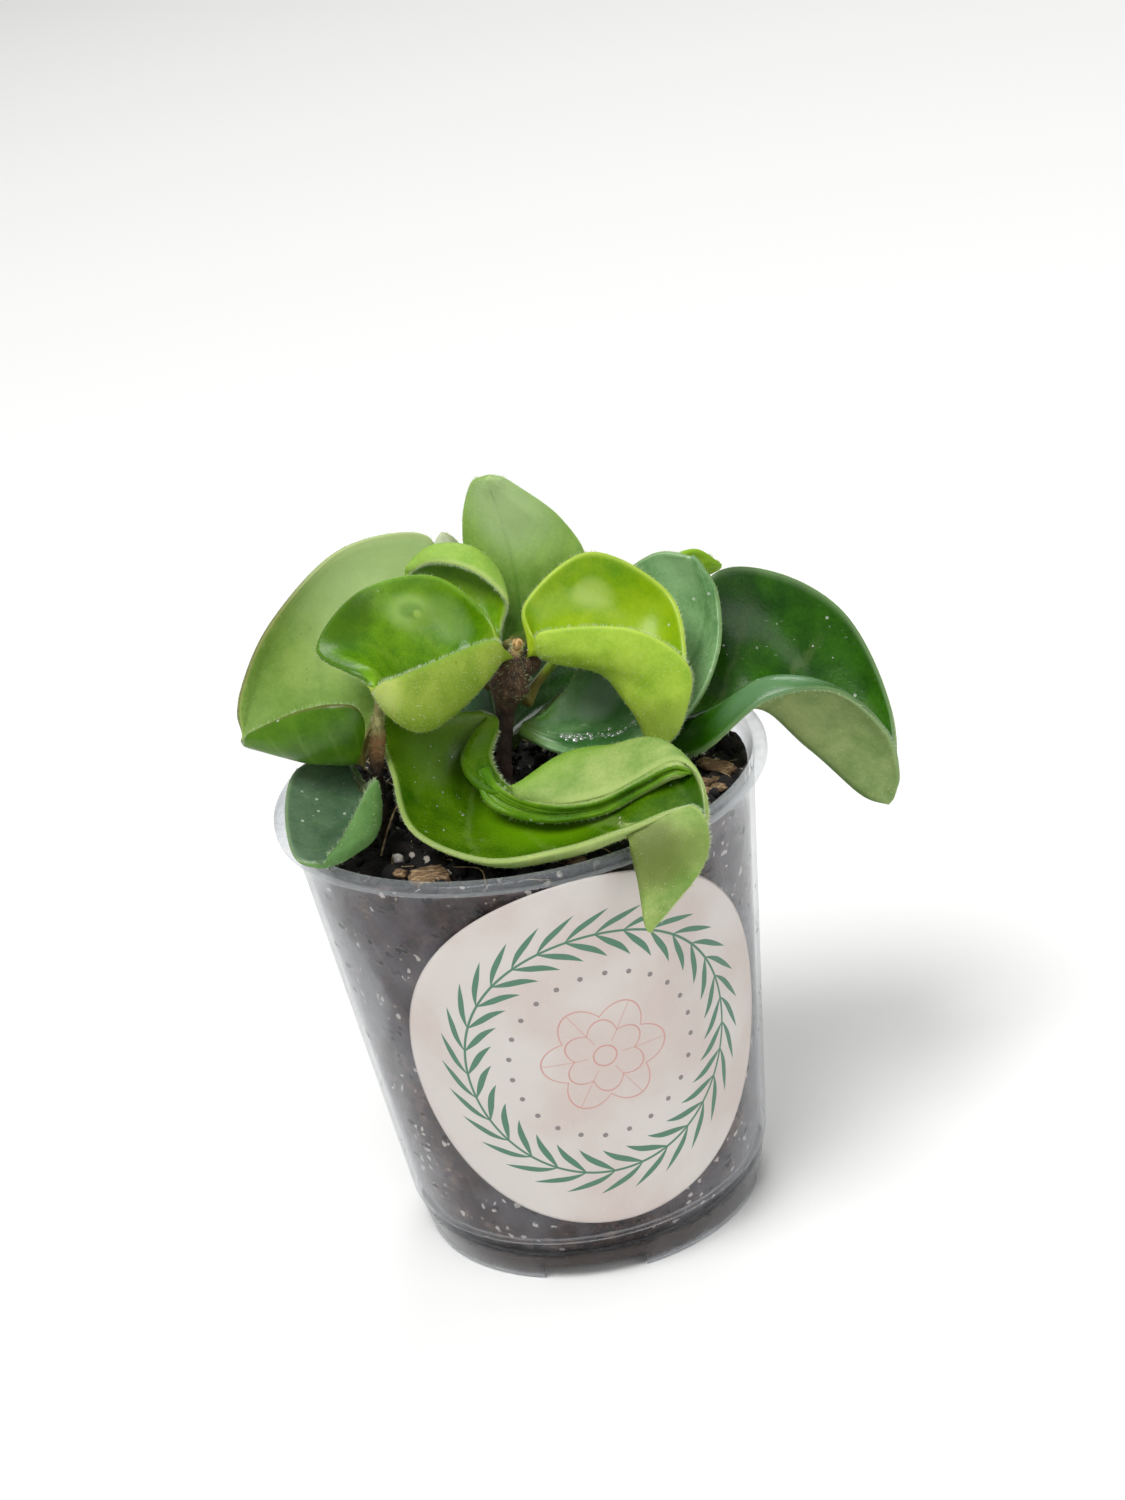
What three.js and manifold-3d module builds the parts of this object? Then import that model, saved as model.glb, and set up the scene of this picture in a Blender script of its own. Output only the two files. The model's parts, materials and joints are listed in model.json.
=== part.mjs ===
// A young hoya with folded, curled leaves, standing in a clear nursery pot with a round label.
// Millimetres, +Z up. The pot's axis is x = y = 0 while building, and the front faces -Y.

import * as THREE from "three";
import { mergeVertices } from "three/addons/utils/BufferGeometryUtils.js";
import ManifoldModule from "manifold-3d";

const kit = await ManifoldModule();
kit.setup();

// Materials

const finish = (color, roughness, more = {}) =>
  new THREE.MeshStandardMaterial({ color, roughness, metalness: 0, ...more });

const finishes = {
  pot: finish(0xd4dadc, 0.2, { transparent: true, opacity: 0.35 }),
  soil: finish(0x1b1512, 0.95),
  label: finish(0xeee5e1, 0.6),
  stem: finish(0x5d4a35, 0.8),
  driedStem: finish(0x8a7245, 0.85),
  leafDark: finish(0x2c5a1e, 0.35),
  leafBlue: finish(0x4f7a5e, 0.4),
  leafMid: finish(0x4a8224, 0.35),
  leafLime: finish(0x7fa518, 0.35),
  leafPale: finish(0x86b05a, 0.5),
};

// Pot

const pot = {
  rimRadius: 32.5,
  rimTop: 63.6,
  lipDepth: 1.7,
  wallTop: 30.6, // outer radius under the lip
  ledgeHeight: 6.3,
  ledgeRadius: 24.7,
  footTop: 24.2,
  footRadius: 23.2,
  wall: 0.75,
  floorBottom: 2.3,
  floorTop: 3.1,
  notches: 4,
  notchAngle: 34,
  firstNotch: -94.5,
  drainRadius: 2.5,
  drainRing: 16.5,
  segments: 48,
};

const wallSlope = (pot.wallTop - pot.ledgeRadius) / (pot.rimTop - pot.lipDepth - pot.ledgeHeight);
const wallRadius = (z) => pot.ledgeRadius + wallSlope * (z - pot.ledgeHeight);
const innerRadius = (z) => wallRadius(z) - pot.wall;

function lathe(profile, segments) {
  const points = profile.map(([r, z]) => new THREE.Vector2(r, z));
  const shape = new THREE.LatheGeometry(points, segments);
  return shape.rotateX(Math.PI / 2);
}

function toManifold(geometry) {
  const plain = new THREE.BufferGeometry();
  plain.setAttribute("position", geometry.getAttribute("position"));
  if (geometry.index) plain.setIndex(geometry.index);
  const merged = mergeVertices(plain, 1e-4);
  const mesh = new kit.Mesh({
    numProp: 3,
    vertProperties: new Float32Array(merged.getAttribute("position").array),
    triVerts: new Uint32Array(merged.index.array),
  });
  mesh.merge();
  const solid = new kit.Manifold(mesh);
  return solid.volume() < 0 ? solid.mirror([1, 0, 0]).mirror([1, 0, 0]) : solid;
}

function toGeometry(solid) {
  const mesh = solid.getMesh();
  const geometry = new THREE.BufferGeometry();
  geometry.setAttribute("position", new THREE.BufferAttribute(mesh.vertProperties, 3));
  geometry.setIndex(new THREE.BufferAttribute(mesh.triVerts, 1));
  geometry.computeVertexNormals();
  return geometry;
}

function potGeometry() {
  const lipBottom = pot.rimTop - pot.lipDepth;
  const outline = [
    [0, pot.floorBottom],
    [pot.footRadius - 1.2, pot.floorBottom],
    [pot.footRadius - 1.0, 0],
    [pot.footRadius, 0],
    [pot.footTop, pot.ledgeHeight],
    [pot.ledgeRadius, pot.ledgeHeight + 0.1],
    [pot.wallTop, lipBottom],
    [pot.rimRadius - 0.1, lipBottom + 0.1],
    [pot.rimRadius, pot.rimTop - 0.5],
    [pot.rimRadius - 0.4, pot.rimTop],
    [innerRadius(pot.rimTop) + 0.7, pot.rimTop],
    [innerRadius(pot.rimTop) + 0.1, pot.rimTop - 0.6],
    [innerRadius(pot.ledgeHeight + 0.8), pot.ledgeHeight + 0.8],
    [pot.footTop - pot.wall, pot.ledgeHeight],
    [pot.footRadius - pot.wall + 0.45, pot.floorTop],
    [0, pot.floorTop],
  ];
  let solid = toManifold(lathe(outline, pot.segments));
  const width = 2 * pot.footRadius * Math.sin(THREE.MathUtils.degToRad(pot.notchAngle / 2));
  for (let i = 0; i < pot.notches; i++) {
    const angle = THREE.MathUtils.degToRad(pot.firstNotch + (i * 360) / pot.notches);
    const gap = new THREE.BoxGeometry(6, width, pot.floorBottom + 1);
    gap.translate(pot.footRadius + 0.6, 0, (pot.floorBottom - 1) / 2 - 0.02).rotateZ(angle);
    const drain = new THREE.CylinderGeometry(pot.drainRadius, pot.drainRadius, 4, 16);
    drain.rotateX(Math.PI / 2).translate(pot.drainRing, 0, pot.floorTop).rotateZ(angle);
    solid = solid.subtract(toManifold(gap)).subtract(toManifold(drain));
  }
  return toGeometry(solid);
}

// Label: a round sticker bent round the wall

const label = {
  radius: 26.2,
  centreHeight: 35.3,
  centreArc: 4.5, // to the right of the front, along the wall
  gap: 0.3,
  thickness: 0.5,
  corners: 44,
};

function labelGeometry() {
  const bottom = label.centreHeight - label.radius - 1;
  const top = label.centreHeight + label.radius + 0.2;
  const inner = (z) => wallRadius(z) + label.gap;
  const outer = (z) => inner(z) + label.thickness;
  const shell = lathe(
    [[inner(bottom), bottom], [outer(bottom), bottom], [outer(top), top], [inner(top), top], [inner(bottom), bottom]],
    pot.segments,
  );
  const corners = [];
  for (let i = 0; i < label.corners; i++) {
    const a = (i / label.corners) * 2 * Math.PI;
    const z = label.centreHeight + label.radius * Math.sin(a) * Math.cos(Math.atan(wallSlope));
    const arc = label.radius * Math.cos(a);
    corners.push(new THREE.Vector2(outer(z) * Math.sin(arc / outer(z)), z));
  }
  const punch = new THREE.ExtrudeGeometry(new THREE.Shape(corners), { depth: 40, bevelEnabled: false });
  punch.rotateX(Math.PI / 2).rotateZ(label.centreArc / wallRadius(label.centreHeight));
  return toGeometry(toManifold(shell).intersect(toManifold(punch)));
}

// Shoots: a cylinder bent along a curve, with its own thickness at each point

const curveThrough = (points) =>
  new THREE.CatmullRomCurve3(
    points.map((p) => new THREE.Vector3(...p)),
    false,
    "catmullrom",
    0.5,
  );

function valueAlong(values, t) {
  const place = t * (values.length - 1);
  const i = Math.min(Math.floor(place), values.length - 2);
  return THREE.MathUtils.lerp(values[i], values[i + 1], place - i);
}

function shootGeometry({ spine, radii, rows, sides = 10 }) {
  const curve = curveThrough(spine);
  const shape = new THREE.CylinderGeometry(1, 1, 1, sides, rows);
  const place = shape.getAttribute("position");
  const corner = new THREE.Vector3();
  for (let i = 0; i < place.count; i++) {
    corner.fromBufferAttribute(place, i);
    const t = THREE.MathUtils.clamp(corner.y + 0.5, 0, 1);
    const along = curve.getTangent(t);
    const side = new THREE.Vector3(0, 1, 0).cross(along).normalize();
    const front = along.clone().cross(side);
    const r = valueAlong(radii, t);
    const point = curve.getPoint(t);
    point.addScaledVector(side, corner.x * r).addScaledVector(front, -corner.z * r);
    place.setXYZ(i, point.x, point.y, point.z);
  }
  return shape;
}

const mainStem = {
  spine: [[-2.2, 0, 57], [-1.9, 0, 63.5], [-0.8, 0, 69.5], [0.3, -0.3, 74], [1.8, -0.8, 78.2], [3.1, -1.4, 82]],
  radii: [1.5, 1.4, 1.3, 1.2, 1.3, 1.5, 1.4, 1.5, 2.4, 2.5, 1.5, 0.9, 0.8],
  rows: 16,
};

const driedStem = {
  spine: [[-18.3, -7, 57], [-18, -7.4, 64], [-17.3, -8.6, 71], [-16.8, -9.8, 76], [-16.8, -11.2, 79.5]],
  radii: [1.2, 1.2, 1.1, 1.1, 1, 0.9, 0.7, 0.5],
  rows: 12,
};

const rightStem = {
  spine: [[15.4, 8, 57], [15.6, 7.8, 62], [16, 7.4, 67]],
  radii: [1.2, 1.2, 1.3, 0.9],
  rows: 6,
};

const stems = [mainStem, driedStem, rightStem];

// Soil: a turned body with an uneven top, and the bark and lumps that show on it

const soil = {
  top: 60.8,
  wallGap: 0.4,
  floorGap: 0.35,
  rings: [26, 22, 18, 14, 10, 6, 3],
  lumps: 12,
  holeGap: 0.4,
  chipLift: 0.35,
};

const bark = [
  { at: [-13.5, -21.5], size: [4.2, 2.6, 1.8], turn: [0.2, 0.1, 0.5] },
  { at: [23.5, -9.5], size: [5.4, 2, 1.6], turn: [0.1, 0.3, 1.0] },
  { at: [25.5, -4.5], size: [4.2, 1.8, 1.4], turn: [0.3, 0.1, -0.5] },
  { at: [-8, 19], size: [5, 2.6, 1.8], turn: [0.2, -0.2, 0.3] },
  { at: [12, 21], size: [4, 2.4, 1.6], turn: [-0.2, 0.2, 1.2] },
];

function seeded(seed) {
  let state = seed;
  return () => {
    state = (state * 16807) % 2147483647;
    return state / 2147483647;
  };
}

const soilTop = (x, y) =>
  soil.top +
  0.35 * Math.sin(0.9 * x + 1) * Math.cos(0.8 * y) +
  0.3 * Math.sin(1.3 * x - 1.1 * y) -
  0.6 * Math.pow(Math.hypot(x, y) / 30, 4);

function soilGeometry() {
  const bottom = pot.floorTop + soil.floorGap;
  const edge = innerRadius(soil.top) - soil.wallGap;
  const outline = [
    [0, bottom],
    [pot.footRadius - pot.wall - 0.1, bottom],
    [pot.footTop - pot.wall - soil.wallGap, pot.ledgeHeight],
    [innerRadius(pot.ledgeHeight + 2) - soil.wallGap, pot.ledgeHeight + 2],
    [edge, soil.top],
    ...soil.rings.map((r) => [r, soil.top + 0.01]),
    [0, soil.top + 0.01],
  ];
  const shape = mergeVertices(stripped(lathe(outline, 36)), 1e-4);
  const place = shape.getAttribute("position");
  for (let i = 0; i < place.count; i++) {
    if (place.getZ(i) < soil.top - 0.1) continue;
    place.setZ(i, soilTop(place.getX(i), place.getY(i)));
  }
  let solid = toManifold(shape);
  const draw = seeded(7);
  for (let i = 0; i < soil.lumps; i++) {
    const angle = draw() * 2 * Math.PI;
    const away = 7 + 20 * Math.sqrt(draw());
    const lump = new THREE.IcosahedronGeometry(1, 0);
    lump.scale(0.8 + 1.2 * draw(), 0.8 + draw(), 0.5 + 0.5 * draw());
    lump.rotateZ(draw() * Math.PI);
    const x = away * Math.cos(angle);
    const y = away * Math.sin(angle);
    if (stems.some(({ spine }) => Math.hypot(x - spine[1][0], y - spine[1][1]) < 4.5)) continue;
    lump.translate(x, y, soilTop(x, y) + 0.1);
    solid = solid.add(toManifold(lump));
  }
  for (const { at, size, turn } of bark) {
    const chip = new THREE.IcosahedronGeometry(0.62, 0).scale(...size);
    chip.rotateX(turn[0]).rotateY(turn[1]).rotateZ(turn[2]);
    chip.translate(...at, soilTop(...at) + soil.chipLift);
    solid = solid.add(toManifold(chip));
  }
  for (const stem of stems) {
    const [x, y, z] = stem.spine[0];
    const hole = { ...stem, spine: [[x, y, z - soil.holeGap], ...stem.spine.slice(1)] };
    hole.radii = stem.radii.map((r) => r + soil.holeGap);
    solid = solid.subtract(toManifold(shootGeometry(hole)));
  }
  return toGeometry(solid);
}

function stripped(geometry) {
  const plain = new THREE.BufferGeometry();
  plain.setAttribute("position", geometry.getAttribute("position"));
  plain.setIndex(geometry.index);
  return plain;
}

// Leaves. Each blade is a folded sheet between three lines that run from its petiole to its tip:
// the rib in the fold and the two edges. The edges share the rib's ends, so only their inner
// points are listed. A bow pushes a half out of its straight line from rib to edge.

const blade = {
  thickness: 1.1,
  rows: 14,
  columns: 10,
  petioleHalf: 1.1,
  tipHalf: 0.35,
  petioleThickness: 2.1,
  petioleShare: 0.1, // of the length, where the petiole thins into the blade
  edgeThinning: 0.3,
  turnStart: 0.16, // up to here and from turnTip on, the section turns with the rib
  turnTip: 0.92,
};

const leaves = {
  leaf_left_large: {
    rib: [[-19.2, -8.9, 73.2], [-21.5, -9, 72.8], [-25.4, -8, 73.8], [-29.5, -7, 75.5], [-33.7, -5, 77]],
    near: [[-18, -12, 80.5], [-20.6, -12, 81.9], [-25.2, -10, 81], [-29.7, -8, 79.2]],
    far: [[-9.5, 11, 83.5], [-6.2, 15, 92], [-17, 11, 93.8], [-27.2, 5, 88], [-32.5, -1, 81.7]],
    nearBow: [[0, -2, -1]],
    farBow: [[0, 4, 0]],
    finish: "leafPale",
  },
  leaf_left_young: {
    rib: [[-0.6, -2.9, 81.1], [-4.1, -5, 77.8], [-10.2, -9, 76.5], [-13.5, -13, 80.5], [-14.9, -15, 84.8]],
    near: [[-2.3, -8, 84.7], [-8.1, -12, 85], [-12.1, -15, 85.2]],
    far: [[-0.9, 2, 85.2], [-6.6, 4, 90.4], [-15.6, 1, 91.2], [-21.7, -7, 88.2], [-18.4, -13, 86.6]],
    nearBow: [[0, -3, -2]],
    farBow: [[-1, 3, -2]],
    finish: "leafMid",
  },
  leaf_hood: {
    rib: [[-0.8, 1.5, 79], [-3.4, 5, 81], [-7, 6.5, 84], [-9.5, 7.5, 87.5], [-9.9, 8, 89.6]],
    near: [[-3, 3.5, 81.5], [-7, 5, 85], [-9.4, 6, 87.8]],
    far: [[-0.2, 4, 82.8], [0.2, 4, 86.2], [-2.4, 4, 90.8], [-6.3, 5, 92]],
    nearBow: [[0, 0, 0]],
    farBow: [[1.1, 1.8, 1.8], [2.6, 3.8, 3.6], [1.6, 2.4, 2.4]],
    finish: "leafMid",
  },
  leaf_top: {
    rib: [[1.7, 1.3, 79.2], [3.3, 11, 82.7], [3.7, 13, 89], [3.2, 13, 95.3], [3, 12, 100.1]],
    near: [[1.7, 11, 81.6], [-1.4, 14, 86.8], [-1.1, 15, 93.4], [0.8, 14, 98.4]],
    far: [[4.9, 12, 80.6], [13.2, 15, 83.6], [11.1, 16, 90.7], [5.8, 14, 97.4]],
    nearBow: [[0, -1, 0]],
    farBow: [[0, -1, 0]],
    finish: "leafPale",
  },
  leaf_back_left: {
    rib: [[-0.9, 2.3, 74.3], [-1.9, 10.5, 75.8], [-3.1, 15, 83.5], [-4.5, 18, 91.3]],
    near: [[-6, 14, 76.6], [-7.7, 17.5, 85]],
    far: [[1.5, 16, 81.2], [-1.5, 18, 86.8]],
    nearBow: [[0, -1, 0]],
    farBow: [[0, -1, 0]],
    finish: "leafPale",
  },
  leaf_right_young: {
    rib: [[4.9, -1.6, 80], [7.8, -3, 78.5], [12.6, -5, 77.6], [16, -7.5, 72.8], [18.3, -9.5, 66.7]],
    near: [[8.5, -5, 83.6], [17.3, -8, 83.2], [23.4, -9, 77.5], [21.7, -10, 70.9]],
    far: [[5.1, 3.5, 85], [14.1, 7, 88.7], [22.7, 5, 82.6], [23.4, -2, 76.8], [21, -7, 71]],
    nearBow: [[0, -1.5, -1]],
    farBow: [[0, 3, -2]],
    finish: "leafLime",
  },
  leaf_right_bowl: {
    rib: [[1.35, 0.2, 69.5], [6, -2, 67.8], [13.8, -1, 66.7], [21.9, 3, 69.4], [27.4, 7, 76.7], [27.1, 9, 85.1]],
    near: [[5.7, -4, 66.7], [12.8, -5, 64.4], [22.4, -3, 68.2], [28, 2, 74.3], [29.2, 7, 80.6]],
    far: [[5.2, 1, 70.8], [10.2, 4, 74.4], [14.4, 8, 81.7], [21.8, 11, 85.4]],
    nearBow: [[0, 0, 0]],
    farBow: [[0, 1, -1]],
    finish: "leafBlue",
  },
  leaf_front: {
    rib: [
      [-2.6, -3.4, 73.3], [-4, -3.7, 71], [-4.8, -5.4, 67.4], [-3.4, -9.8, 64.3], [0.6, -15.5, 63.5],
      [5.6, -20.5, 63.7], [9.8, -25.5, 64.8], [11.9, -30.6, 65.4], [12.7, -33.6, 61.5], [13, -34.9, 54.9],
    ],
    near: [
      [-13.6, -5, 72.8], [-15.1, -11.8, 71], [-13.5, -20, 67], [-5.5, -26.5, 64.6], [3.5, -29.4, 65.6],
      [11.6, -31.6, 67.8], [20, -30, 68.2], [20.9, -33, 63],
    ],
    far: [
      [-1.5, -4.8, 71.5], [-2.7, -8.5, 69.6], [-0.9, -13.5, 67.6], [4, -20, 66.7], [12.1, -23, 68.2],
      [19.3, -24, 71.2], [21.8, -28, 68.4], [20.3, -32.3, 63.8],
    ],
    nearBow: [[0, 0, -1.5], [0, -1, -2], [0, -1, -1.6], [0, 0, -0.4], [-0.5, -0.5, 0]],
    farBow: [
      [-1.8, -1.5, 0.8], [-3, -2.3, 1.3], [-2.8, -2.1, 1.5], [-1.6, 0, 2], [1, 6.4, 4.4], [1.6, 7.6, 3.6],
      [1.2, 7.4, 2], [0, 4, 1.2], [0, 1.2, 0.8],
    ],
    finish: "leafMid",
    rows: 26,
  },
  leaf_right_large: {
    rib: [[17.9, 6.3, 65], [24.6, 2, 65.7], [32.9, -1, 66.8], [38.6, -2, 61.1], [44.1, -3, 53.9], [47.5, -3, 51.8]],
    near: [[18, -3, 63.8], [23.3, -8, 65], [32.3, -9, 70.9], [41.3, -9, 70.6], [47.5, -7, 62.9], [48.7, -5, 55.4]],
    far: [[24.8, 10, 70.3], [29.6, 14, 79.8], [38.1, 15, 78.4], [46.2, 12, 71.9], [49.5, 5, 61]],
    nearBow: [[0, 1, 4]],
    farBow: [[0, 3, -3]],
    finish: "leafDark",
    rows: 18,
  },
  leaf_front_left: {
    rib: [[-19.9, -10.8, 69.4], [-18.7, -13.5, 67.4], [-19.4, -17, 66.1], [-22, -21, 66.2], [-25.5, -23, 66.4]],
    near: [[-17.9, -13.5, 71.6], [-19.1, -15.5, 70.9], [-20.9, -19, 69.3], [-23, -22, 67.6]],
    far: [[-22, -4.5, 71.6], [-27.6, -5, 71.4], [-29.2, -13, 69.8], [-28.6, -21, 67.1]],
    nearBow: [[0.5, -1, 0]],
    farBow: [[0, 0, -1]],
    finish: "leafBlue",
  },
  leaf_back_right_young: {
    rib: [[2, 1.5, 73.2], [11.2, 13, 76.1], [19.9, 19, 76.5], [30.5, 23, 79.3]],
    near: [[13.5, 12, 78.5], [24, 19, 80]],
    far: [[13.7, 19, 76.2], [25.5, 25, 77.6]],
    nearBow: [[0, 0, 0]],
    farBow: [[0, 0, 0]],
    finish: "leafLime",
  },
  leaf_back_right: {
    rib: [[-0.4, 2, 67.6], [7.4, 10, 68], [14.6, 17, 67.6], [21, 24, 66.6]],
    near: [[8, 7, 71], [17, 14, 70.6]],
    far: [[3, 14, 72], [11, 22, 71]],
    nearBow: [[0, 0, 0]],
    farBow: [[0, 0, 0]],
    finish: "leafDark",
  },
  leaf_back: {
    rib: [[-2.3, 1.5, 67], [-8, 9, 69], [-13, 17, 68], [-16, 26, 66.2]],
    near: [[-13, 6, 74], [-20, 15, 72]],
    far: [[-3, 13, 74], [-8, 22, 72]],
    nearBow: [[-1, 0, -1]],
    farBow: [[1, 0, -1]],
    finish: "leafBlue",
  },
};

class Leaf {
  constructor(plan) {
    this.rows = plan.rows ?? blade.rows;
    const start = new THREE.Vector3(...plan.rib[0]);
    const tip = new THREE.Vector3(...plan.rib.at(-1));
    this.rib = curveThrough(plan.rib);
    const across = (a, b, along, half) => {
      const side = new THREE.Vector3(...b).sub(new THREE.Vector3(...a));
      side.addScaledVector(along, -side.dot(along));
      return side.setLength(half);
    };
    const atStart = across(plan.near[0], plan.far[0], this.rib.getTangent(0), blade.petioleHalf);
    const atTip = across(plan.near.at(-1), plan.far.at(-1), this.rib.getTangent(1), blade.tipHalf);
    const edge = (inner, sign) =>
      curveThrough([
        start.clone().addScaledVector(atStart, sign).toArray(),
        ...inner,
        tip.clone().addScaledVector(atTip, sign).toArray(),
      ]);
    this.near = { edge: edge(plan.near, -1), bow: curveThrough([[0, 0, 0], ...plan.nearBow, [0, 0, 0]]) };
    this.far = { edge: edge(plan.far, 1), bow: curveThrough([[0, 0, 0], ...plan.farBow, [0, 0, 0]]) };
    const middle = this.rib.getPoint(0.5);
    const edges = this.near.edge.getPoint(0.5).add(this.far.edge.getPoint(0.5)).multiplyScalar(0.5);
    this.turned = this.rawNormal(0.5, 0).dot(edges.sub(middle)) > 0 ? -1 : 1;
  }

  // The inside of the fold, v from -1 at the near edge to 1 at the far one
  point(t, v) {
    const half = v < 0 ? this.near : this.far;
    const s = Math.abs(v);
    const rib = this.rib.getPoint(t);
    const edge = half.edge.getPoint(t);
    return rib.lerp(edge, s).addScaledVector(half.bow.getPoint(t), 4 * s * (1 - s));
  }

  rawNormal(t, v) {
    const d = 0.02;
    const clamp = THREE.MathUtils.clamp;
    const along = this.point(clamp(t + d, 0, 1), v).sub(this.point(clamp(t - d, 0, 1), v));
    const over = this.point(t, clamp(v + d, -1, 1)).sub(this.point(t, clamp(v - d, -1, 1)));
    return along.cross(over).normalize();
  }

  // Near the petiole and the tip the whole section turns with the rib
  outward(t, v) {
    const nearEnd = Math.max(0, 1 - t / blade.turnStart, (t - blade.turnTip) / (1 - blade.turnTip));
    const normal = this.rawNormal(t, v).lerp(this.rawNormal(t, 0), nearEnd);
    const along = this.rib.getTangent(t);
    normal.addScaledVector(along, -nearEnd * normal.dot(along));
    return normal.setLength(this.turned);
  }

  thickness(t, v) {
    const petiole = Math.max(0, 1 - t / blade.petioleShare);
    const flat = blade.thickness * (1 - blade.edgeThinning * v * v);
    return flat + (blade.petioleThickness - flat) * petiole * petiole;
  }

  geometry() {
    const { rows } = this;
    const { columns } = blade;
    const grid = new THREE.PlaneGeometry(1, 1, columns, rows);
    const inside = [];
    const outside = [];
    for (let i = 0; i <= rows; i++) {
      for (let j = 0; j <= columns; j++) {
        const t = i / rows;
        const v = -1 + (2 * j) / columns;
        const p = this.point(t, v);
        const out = this.outward(t, v).multiplyScalar(this.thickness(t, v));
        inside.push(...p.toArray());
        outside.push(...p.add(out).toArray());
      }
    }
    const count = (rows + 1) * (columns + 1);
    const faces = [];
    const cells = grid.index.array;
    for (let i = 0; i < cells.length; i += 3) {
      const [a, b, c] = [cells[i], cells[i + 1], cells[i + 2]];
      faces.push(a, c, b, count + a, count + b, count + c);
    }
    const border = [];
    for (let j = 0; j < columns; j++) border.push(j);
    for (let i = 0; i < rows; i++) border.push(i * (columns + 1) + columns);
    for (let j = columns; j > 0; j--) border.push(rows * (columns + 1) + j);
    for (let i = rows; i > 0; i--) border.push(i * (columns + 1));
    border.forEach((a, k) => {
      const b = border[(k + 1) % border.length];
      faces.push(a, count + a, b, b, count + a, count + b);
    });
    if (this.turned < 0) faces.reverse();
    const geometry = new THREE.BufferGeometry();
    geometry.setAttribute("position", new THREE.Float32BufferAttribute([...inside, ...outside], 3));
    geometry.setIndex(faces);
    return geometry;
  }
}

// Put together

const plant = new THREE.Group();

function add(name, geometry, finishName) {
  const mesh = new THREE.Mesh(geometry, finishes[finishName]);
  mesh.name = name;
  plant.add(mesh);
}

add("pot", potGeometry(), "pot");
add("soil", soilGeometry(), "soil");
add("label", labelGeometry(), "label");
add("stem_main", shootGeometry(mainStem), "stem");
add("stem_dried", shootGeometry(driedStem), "driedStem");
add("stem_right", shootGeometry(rightStem), "stem");
for (const [name, plan] of Object.entries(leaves)) {
  add(name, new Leaf(plan).geometry(), plan.finish);
}

// The origin is the middle of the plant's own box, at the foot of the pot

const box = new THREE.Box3().setFromObject(plant);
const middle = box.getCenter(new THREE.Vector3());
for (const piece of plant.children) piece.geometry.translate(-middle.x, -middle.y, -box.min.z);

export default plant;
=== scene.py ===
import json
import math

import bmesh
import bpy
import numpy as np
from mathutils import Matrix, Vector, noise


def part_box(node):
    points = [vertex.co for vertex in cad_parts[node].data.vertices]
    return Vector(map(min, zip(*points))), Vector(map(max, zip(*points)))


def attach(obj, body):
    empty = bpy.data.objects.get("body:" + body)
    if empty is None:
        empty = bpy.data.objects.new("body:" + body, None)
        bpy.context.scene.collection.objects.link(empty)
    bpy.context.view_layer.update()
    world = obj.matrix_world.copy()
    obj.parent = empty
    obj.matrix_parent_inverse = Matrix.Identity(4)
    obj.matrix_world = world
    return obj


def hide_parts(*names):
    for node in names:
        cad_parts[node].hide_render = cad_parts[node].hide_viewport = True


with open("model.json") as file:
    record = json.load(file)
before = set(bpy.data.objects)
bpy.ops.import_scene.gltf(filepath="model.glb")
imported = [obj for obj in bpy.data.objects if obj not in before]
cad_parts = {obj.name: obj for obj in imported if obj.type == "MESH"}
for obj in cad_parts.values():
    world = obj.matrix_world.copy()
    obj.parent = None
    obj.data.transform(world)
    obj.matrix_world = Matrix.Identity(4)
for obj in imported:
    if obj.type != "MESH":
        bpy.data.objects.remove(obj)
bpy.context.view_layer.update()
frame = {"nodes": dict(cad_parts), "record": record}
mm = 0.001
potLow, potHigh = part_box("pot")
potAxis = np.array([(potLow.x + potHigh.x) / 2, (potLow.y + potHigh.y) / 2, 0.0])
dice = np.random.default_rng(11)
print("frame loaded:", len(frame["nodes"]), "nodes")


def atPot(points):
    return np.asarray(points, float) * mm + potAxis


def unit(vectors):
    return vectors / np.maximum(np.linalg.norm(vectors, axis=-1, keepdims=True), 1e-12)


def blendTo(a, b, share):
    return a + (b - a) * share


# the camera stands where the photograph was taken from

cameraPlan = {
    "position": (6.09, -333.2, 211.0),
    "forward": (0, 0.91608, -0.40099),
    "up": (0.17777, 0.39460, 0.90149),
    "lens": 67.2,
}


def addCamera(plan):
    data = bpy.data.cameras.new("camera")
    data.lens = plan["lens"]
    data.sensor_width = 36
    data.clip_start = 0.01
    camera = bpy.data.objects.new("camera", data)
    forward = Vector(plan["forward"]).normalized()
    right = forward.cross(Vector(plan["up"])).normalized()
    up = right.cross(forward)
    turn = Matrix((right, up, -forward)).transposed().to_4x4()
    camera.matrix_world = Matrix.Translation(atPot(plan["position"])) @ turn
    bpy.context.collection.objects.link(camera)
    bpy.context.scene.camera = camera


addCamera(cameraPlan)


# material maths: a Field is a socket that can be added, multiplied and compared

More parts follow.
